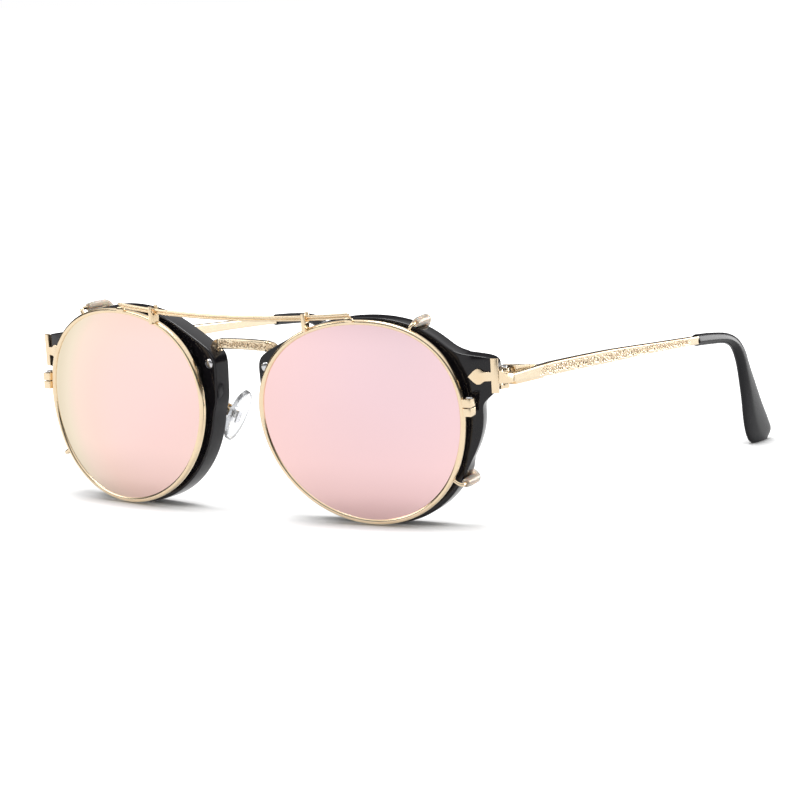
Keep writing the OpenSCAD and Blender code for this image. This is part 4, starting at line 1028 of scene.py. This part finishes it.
def build_bridge():
    """The struck bar, whose top corners are rounded down at its ends, and its two feet."""
    share = np.linspace(-1, 1, 460)
    xs = BAR_HALF * np.sign(share) * (1 - (1 - np.abs(share)) ** 1.15)
    middle_y = BRIDGE_Y + bridge_r - BRIDGE_ARCH - np.sqrt(bridge_r ** 2 - xs ** 2)
    fall = -0.5 * (xs / BAR_HALF) ** 2
    past = np.clip(np.abs(xs) - BAR_HALF + BAR_ROUND, 0, BAR_ROUND)
    top = fall + BRIDGE_H / 2 - BAR_ROUND + np.sqrt(BAR_ROUND ** 2 - past ** 2)
    low = fall - BRIDGE_H / 2
    foot = np.clip((np.abs(xs) - BAR_ENGRAVED) / 0.35, 0, 1)
    rim = np.exp(-((np.abs(xs) - BAR_ENGRAVED - 0.1) / 0.22) ** 2)
    half_h = (top - low) / 2 - 0.1 * foot + 0.08 * rim
    half_t = BRIDGE_T / 2 - 0.12 * foot + 0.08 * rim
    signs, arcs = bar_section()
    y = signs[None, :, 0] * (half_t[:, None] - BAR_CORNER) + arcs[None, :, 0]
    z = signs[None, :, 1] * (half_h[:, None] - BAR_CORNER) + arcs[None, :, 1]
    on_face = (signs[:, 0] < 0) & (arcs[:, 0] <= -0.99 * BAR_CORNER)
    struck = scrolls(xs[:, None], z, -BAR_ENGRAVED, BAR_ENGRAVED, 0.85)
    inside = (on_face[None] * (1 - foot)[:, None]
              * np.clip((half_h[:, None] - 0.36 - np.abs(z)) / 0.1, 0, 1))
    pits = 0.5 + 0.5 * np.sin(9.0 * xs)[:, None] * np.sin(8.0 * z + 1.0)
    hollow = np.clip(0.7 * inside * struck + foot[:, None] * (0.15 + 0.5 * pits), 0, 1)
    y = y + 0.13 * inside * struck
    grid = np.stack([np.broadcast_to(xs[:, None], y.shape), middle_y[:, None] + y,
                     BRIDGE_Z + ((top + low) / 2)[:, None] + z], -1)
    bar = grid_piece("bar", grid, carved_gold_and_shade, smooth_angle=60.0)
    set_patina_and_shade(bar, hollow)
    pieces = [bar]
    for sign in SIDES.values():
        section = round_corners(2.3, 2.0, 0.7, 6)
        levels = np.array([[12.6, 1.12], [13.6, 1.12], [14.2, 1.04], [14.8, 0.97], [15.3, 0.9]])
        u = FOOT_U + levels[:, 1, None] * section[None, :, 0]
        d = TANG_MID + levels[:, 1, None] * section[None, :, 1]
        post = placed(u, d, np.broadcast_to(levels[:, :1], u.shape), sign)
        boss = grid_piece("foot", post, carved_gold_and_shade)
        set_patina_and_shade(boss, np.full(len(boss.data.vertices), 0.2))
        pieces.append(boss)
    return joined("struck_bridge", pieces)


bridge = seat(build_bridge(), "front", "gold", "bridge")
print("bridge mm", [round(v / MM, 1) for v in bridge.dimensions])

# %% [markdown]
# ## Rivets
# The bridge's tangs are riveted through the rims, and each rivet shows a low polished dome.

# %% Rivets
def dome_profile(radius, height, wall=0.12, steps=8):
    """A low dome on a short wall: (radius, height) pairs."""
    turns = np.linspace(0, np.pi / 2, steps)
    return [(radius * 0.92, 0.0)] + [
        (radius * math.cos(t), wall + (height - wall) * math.sin(t)) for t in turns]


RIVET_U, RIVET_W, RIVET_R, RIVET_H = NOSE_U + 2.3, 11.2, 1.2, 0.55
for side, sign in SIDES.items():
    at = placed(RIVET_U, RIM_FRONT + 0.15, RIVET_W, sign)
    out_of = placed(RIVET_U, RIM_FRONT - 0.85, RIVET_W, sign) - at
    rivet = turned_piece(f"bridge_rivet_{side}", dome_profile(RIVET_R, RIVET_H), at, out_of, steel)
    seat(rivet, "front", "steel", f"bridge_rivet_{side}")

# %% [markdown]
# ## Nose pads
# A pad is soft clear silicone, moulded round a small box that hinges on the arm's screw. It is a
# pillow: an oval, flat at the back and crowned towards the nose, thin at its rim.

# %% Nose pads
PAD_L, PAD_W, PAD_T, PAD_BACK, PAD_PIVOT = 13.5, 7.5, 2.0, 0.9, 2.3
PAD_RIM = 0.45                 # how thin the pillow gets at its edge
PAD_AT = np.array([
    EYE_X + NOSE_U * math.cos(WRAP) + 1.8,
    NOSE_U * math.sin(WRAP) + RIM_BACK * math.cos(WRAP) + 5.1 - GROUND_MIDDLE, EYE_Z - 2.6])
lean, splay = math.radians(26.0), math.radians(2.0)
PAD_OUT = np.array([math.cos(lean) * math.cos(splay), -math.cos(lean) * math.sin(splay),
                    math.sin(lean)])
PAD_SIDE = np.array([math.sin(splay), math.cos(splay), 0.0])
PAD_UP = np.cross(PAD_OUT, PAD_SIDE)


def pad_points(x, y, z):
    """Points of the left pad's own frame: x away from the nose, y across, z up along it."""
    x, y, z = np.broadcast_arrays(x, y, z)
    return PAD_AT + x[..., None] * PAD_OUT + y[..., None] * PAD_SIDE + z[..., None] * PAD_UP


def pad_block(name, lengths, swell, width, height, radius, sign, material):
    """A round-cornered block along the pad's own x, whose section is scaled by swell."""
    section = round_corners(width, height, radius, 5)
    swell = np.asarray(swell)[:, None]
    grid = pad_points(np.asarray(lengths)[:, None], swell * section[:, 0], swell * section[:, 1])
    return grid_piece(name, mirrored(grid, sign), material)


def build_pad(side, sign):
    """One silicone pad with the boss that its screw goes through."""
    turns = np.arange(64) * 2 * np.pi / 64
    rim = np.stack([PAD_W / 2 * np.cos(turns),
                    PAD_L / 2 * np.sin(turns) * (1 + 0.06 * np.cos(turns))], 1)
    levels = np.linspace(0.02, 1, 14)
    bulge = np.sqrt(1 - levels ** 2.6)
    front = -(PAD_T - PAD_BACK - PAD_RIM) - 0.1 - 0.42 * bulge
    back = PAD_BACK - 0.75 + 0.72 * bulge
    share = np.concatenate([levels, levels[::-1]])
    x = np.concatenate([front, back[::-1]])
    flat = rim[None] * share[:, None, None]
    grid = pad_points(x[:, None], flat[..., 0], flat[..., 1])
    body = grid_piece("pad", mirrored(grid, sign), rim_shaded_pad_finish)
    # painted shade: darker towards the pad's rim and in a thin ring inside it
    edge = np.clip((share - 0.8) / 0.2, 0, 1) + 0.75 * np.exp(-((share - 0.66) / 0.05) ** 2)
    set_patina_and_shade(body, np.broadcast_to(edge[:, None], flat.shape[:2]))
    neck = pad_block("neck", np.linspace(0.5, PAD_PIVOT, 8), np.ones(8), 1.3, 1.5, 0.3, sign,
                     rim_shaded_pad_finish)
    eye_at = mirrored(PAD_AT + PAD_PIVOT * PAD_OUT - 0.65 * PAD_SIDE, sign)
    boss = turned_piece("boss", [(0.85, 0), (0.95, 0.12), (0.95, 1.18), (0.85, 1.3)], eye_at,
                        mirrored(PAD_SIDE, sign), rim_shaded_pad_finish, 28)
    plate = pad_block("core", np.linspace(-0.62, 0.32, 6), (0.82, 1, 1, 1, 1, 0.85), 2.1, 3.6, 0.4,
                      sign, steel)
    piece = joined(f"silicone_pad_{side}", [body, neck, boss, plate])
    return seat(piece, f"nose_pad_{side}", "pad_silicone", f"nose_pad_{side}")


for side, sign in SIDES.items():
    pad = build_pad(side, sign)
print("pad mm", [round(v / MM, 1) for v in pad.dimensions])

# %% [markdown]
# ## Small hardware
# Hinges, plaques, blocks and screws have the right shape already, and only their edges are too
# sharp: a real stamped or turned piece has a tiny round that catches light. Each is copied, its
# flat triangles are joined back into plain faces, and a narrow bevel rounds what is left.

# %% Small hardware
def polished(node, material, width):
    """A copy of a CAD node with its edges rounded by `width` millimetres."""
    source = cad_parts[node]
    mesh = source.data.copy()
    bm = bmesh.new()
    bm.from_mesh(mesh)
    bmesh.ops.remove_doubles(bm, verts=bm.verts, dist=1e-6)
    bmesh.ops.dissolve_limit(bm, angle_limit=math.radians(1.0), verts=bm.verts, edges=bm.edges)
    bm.to_mesh(mesh)
    bm.free()
    mesh.materials.clear()
    mesh.materials.append(material)
    mesh.shade_smooth()
    piece = bpy.data.objects.new(f"{node}_polished", mesh)
    scene.collection.objects.link(piece)
    bevel = piece.modifiers.new("edge", "BEVEL")
    bevel.width = width * MM
    bevel.segments = 3
    bevel.limit_method = "ANGLE"
    bevel.angle_limit = math.radians(35)
    bevel.harden_normals = True
    bevel.use_clamp_overlap = True
    return piece


HARDWARE = (
    ("pad_arm", "front", "gold", gold, 0.06), ("pad_screw", "front", "steel", steel, 0.06),
    ("corner_plaque", "front", "gold", gold, 0.12), ("plaque_rivets", "front", "gold", gold, 0.08),
    ("hinge_leaf", "front", "gold", gold, 0.1), ("hinge_screw", "front", "steel", steel, 0.1),
    ("hinge_sled", "sled", "steel", steel, 0.08), ("spring_box", "temple", "gold", gold, 0.3),
    ("brow_post", "clip", "gold", gold, 0.14),
    ("clip_block", "clip", "gold", gold, 0.05), ("block_screw", "clip", "steel", steel, 0.1))
for part, body, slot_name, material, width in HARDWARE:
    for side in SIDES:
        node = f"{part}_{side}"
        owner = body if body in ("front", "clip") else f"{body}_{side}"
        seat(polished(node, material, width), owner, slot_name, node)
print("hardware pieces", 2 * len(HARDWARE))

# %% [markdown]
# ## Hinge springs
# The spring in each box is wound from thin wire.

# %% Hinge springs
COIL_R, COIL_WIRE, COIL_TURNS = 0.8, 0.175, 9


def build_coil(side):
    """One coil: the turn and the height of its wire both grow evenly from end to end."""
    low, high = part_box(f"hinge_spring_{side}")
    middle_x, middle_z = (low.x + high.x) / 2 / MM, (low.z + high.z) / 2 / MM
    share = np.linspace(0, 1, COIL_TURNS * 28)
    angle = share * 2 * np.pi * COIL_TURNS
    start, end = low.y / MM + COIL_WIRE, high.y / MM - COIL_WIRE
    route = np.stack([middle_x + COIL_R * np.cos(angle), start + (end - start) * share,
                      middle_z + COIL_R * np.sin(angle)], 1)
    grid = tube_grid(route, np.full(len(route), COIL_WIRE), (0, 1, 0), 10)
    coil = grid_piece(f"coil_spring_{side}", grid, steel)
    seat(coil, f"sled_{side}", "steel", f"hinge_spring_{side}")
    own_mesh(coil)


for side in SIDES:
    build_coil(side)
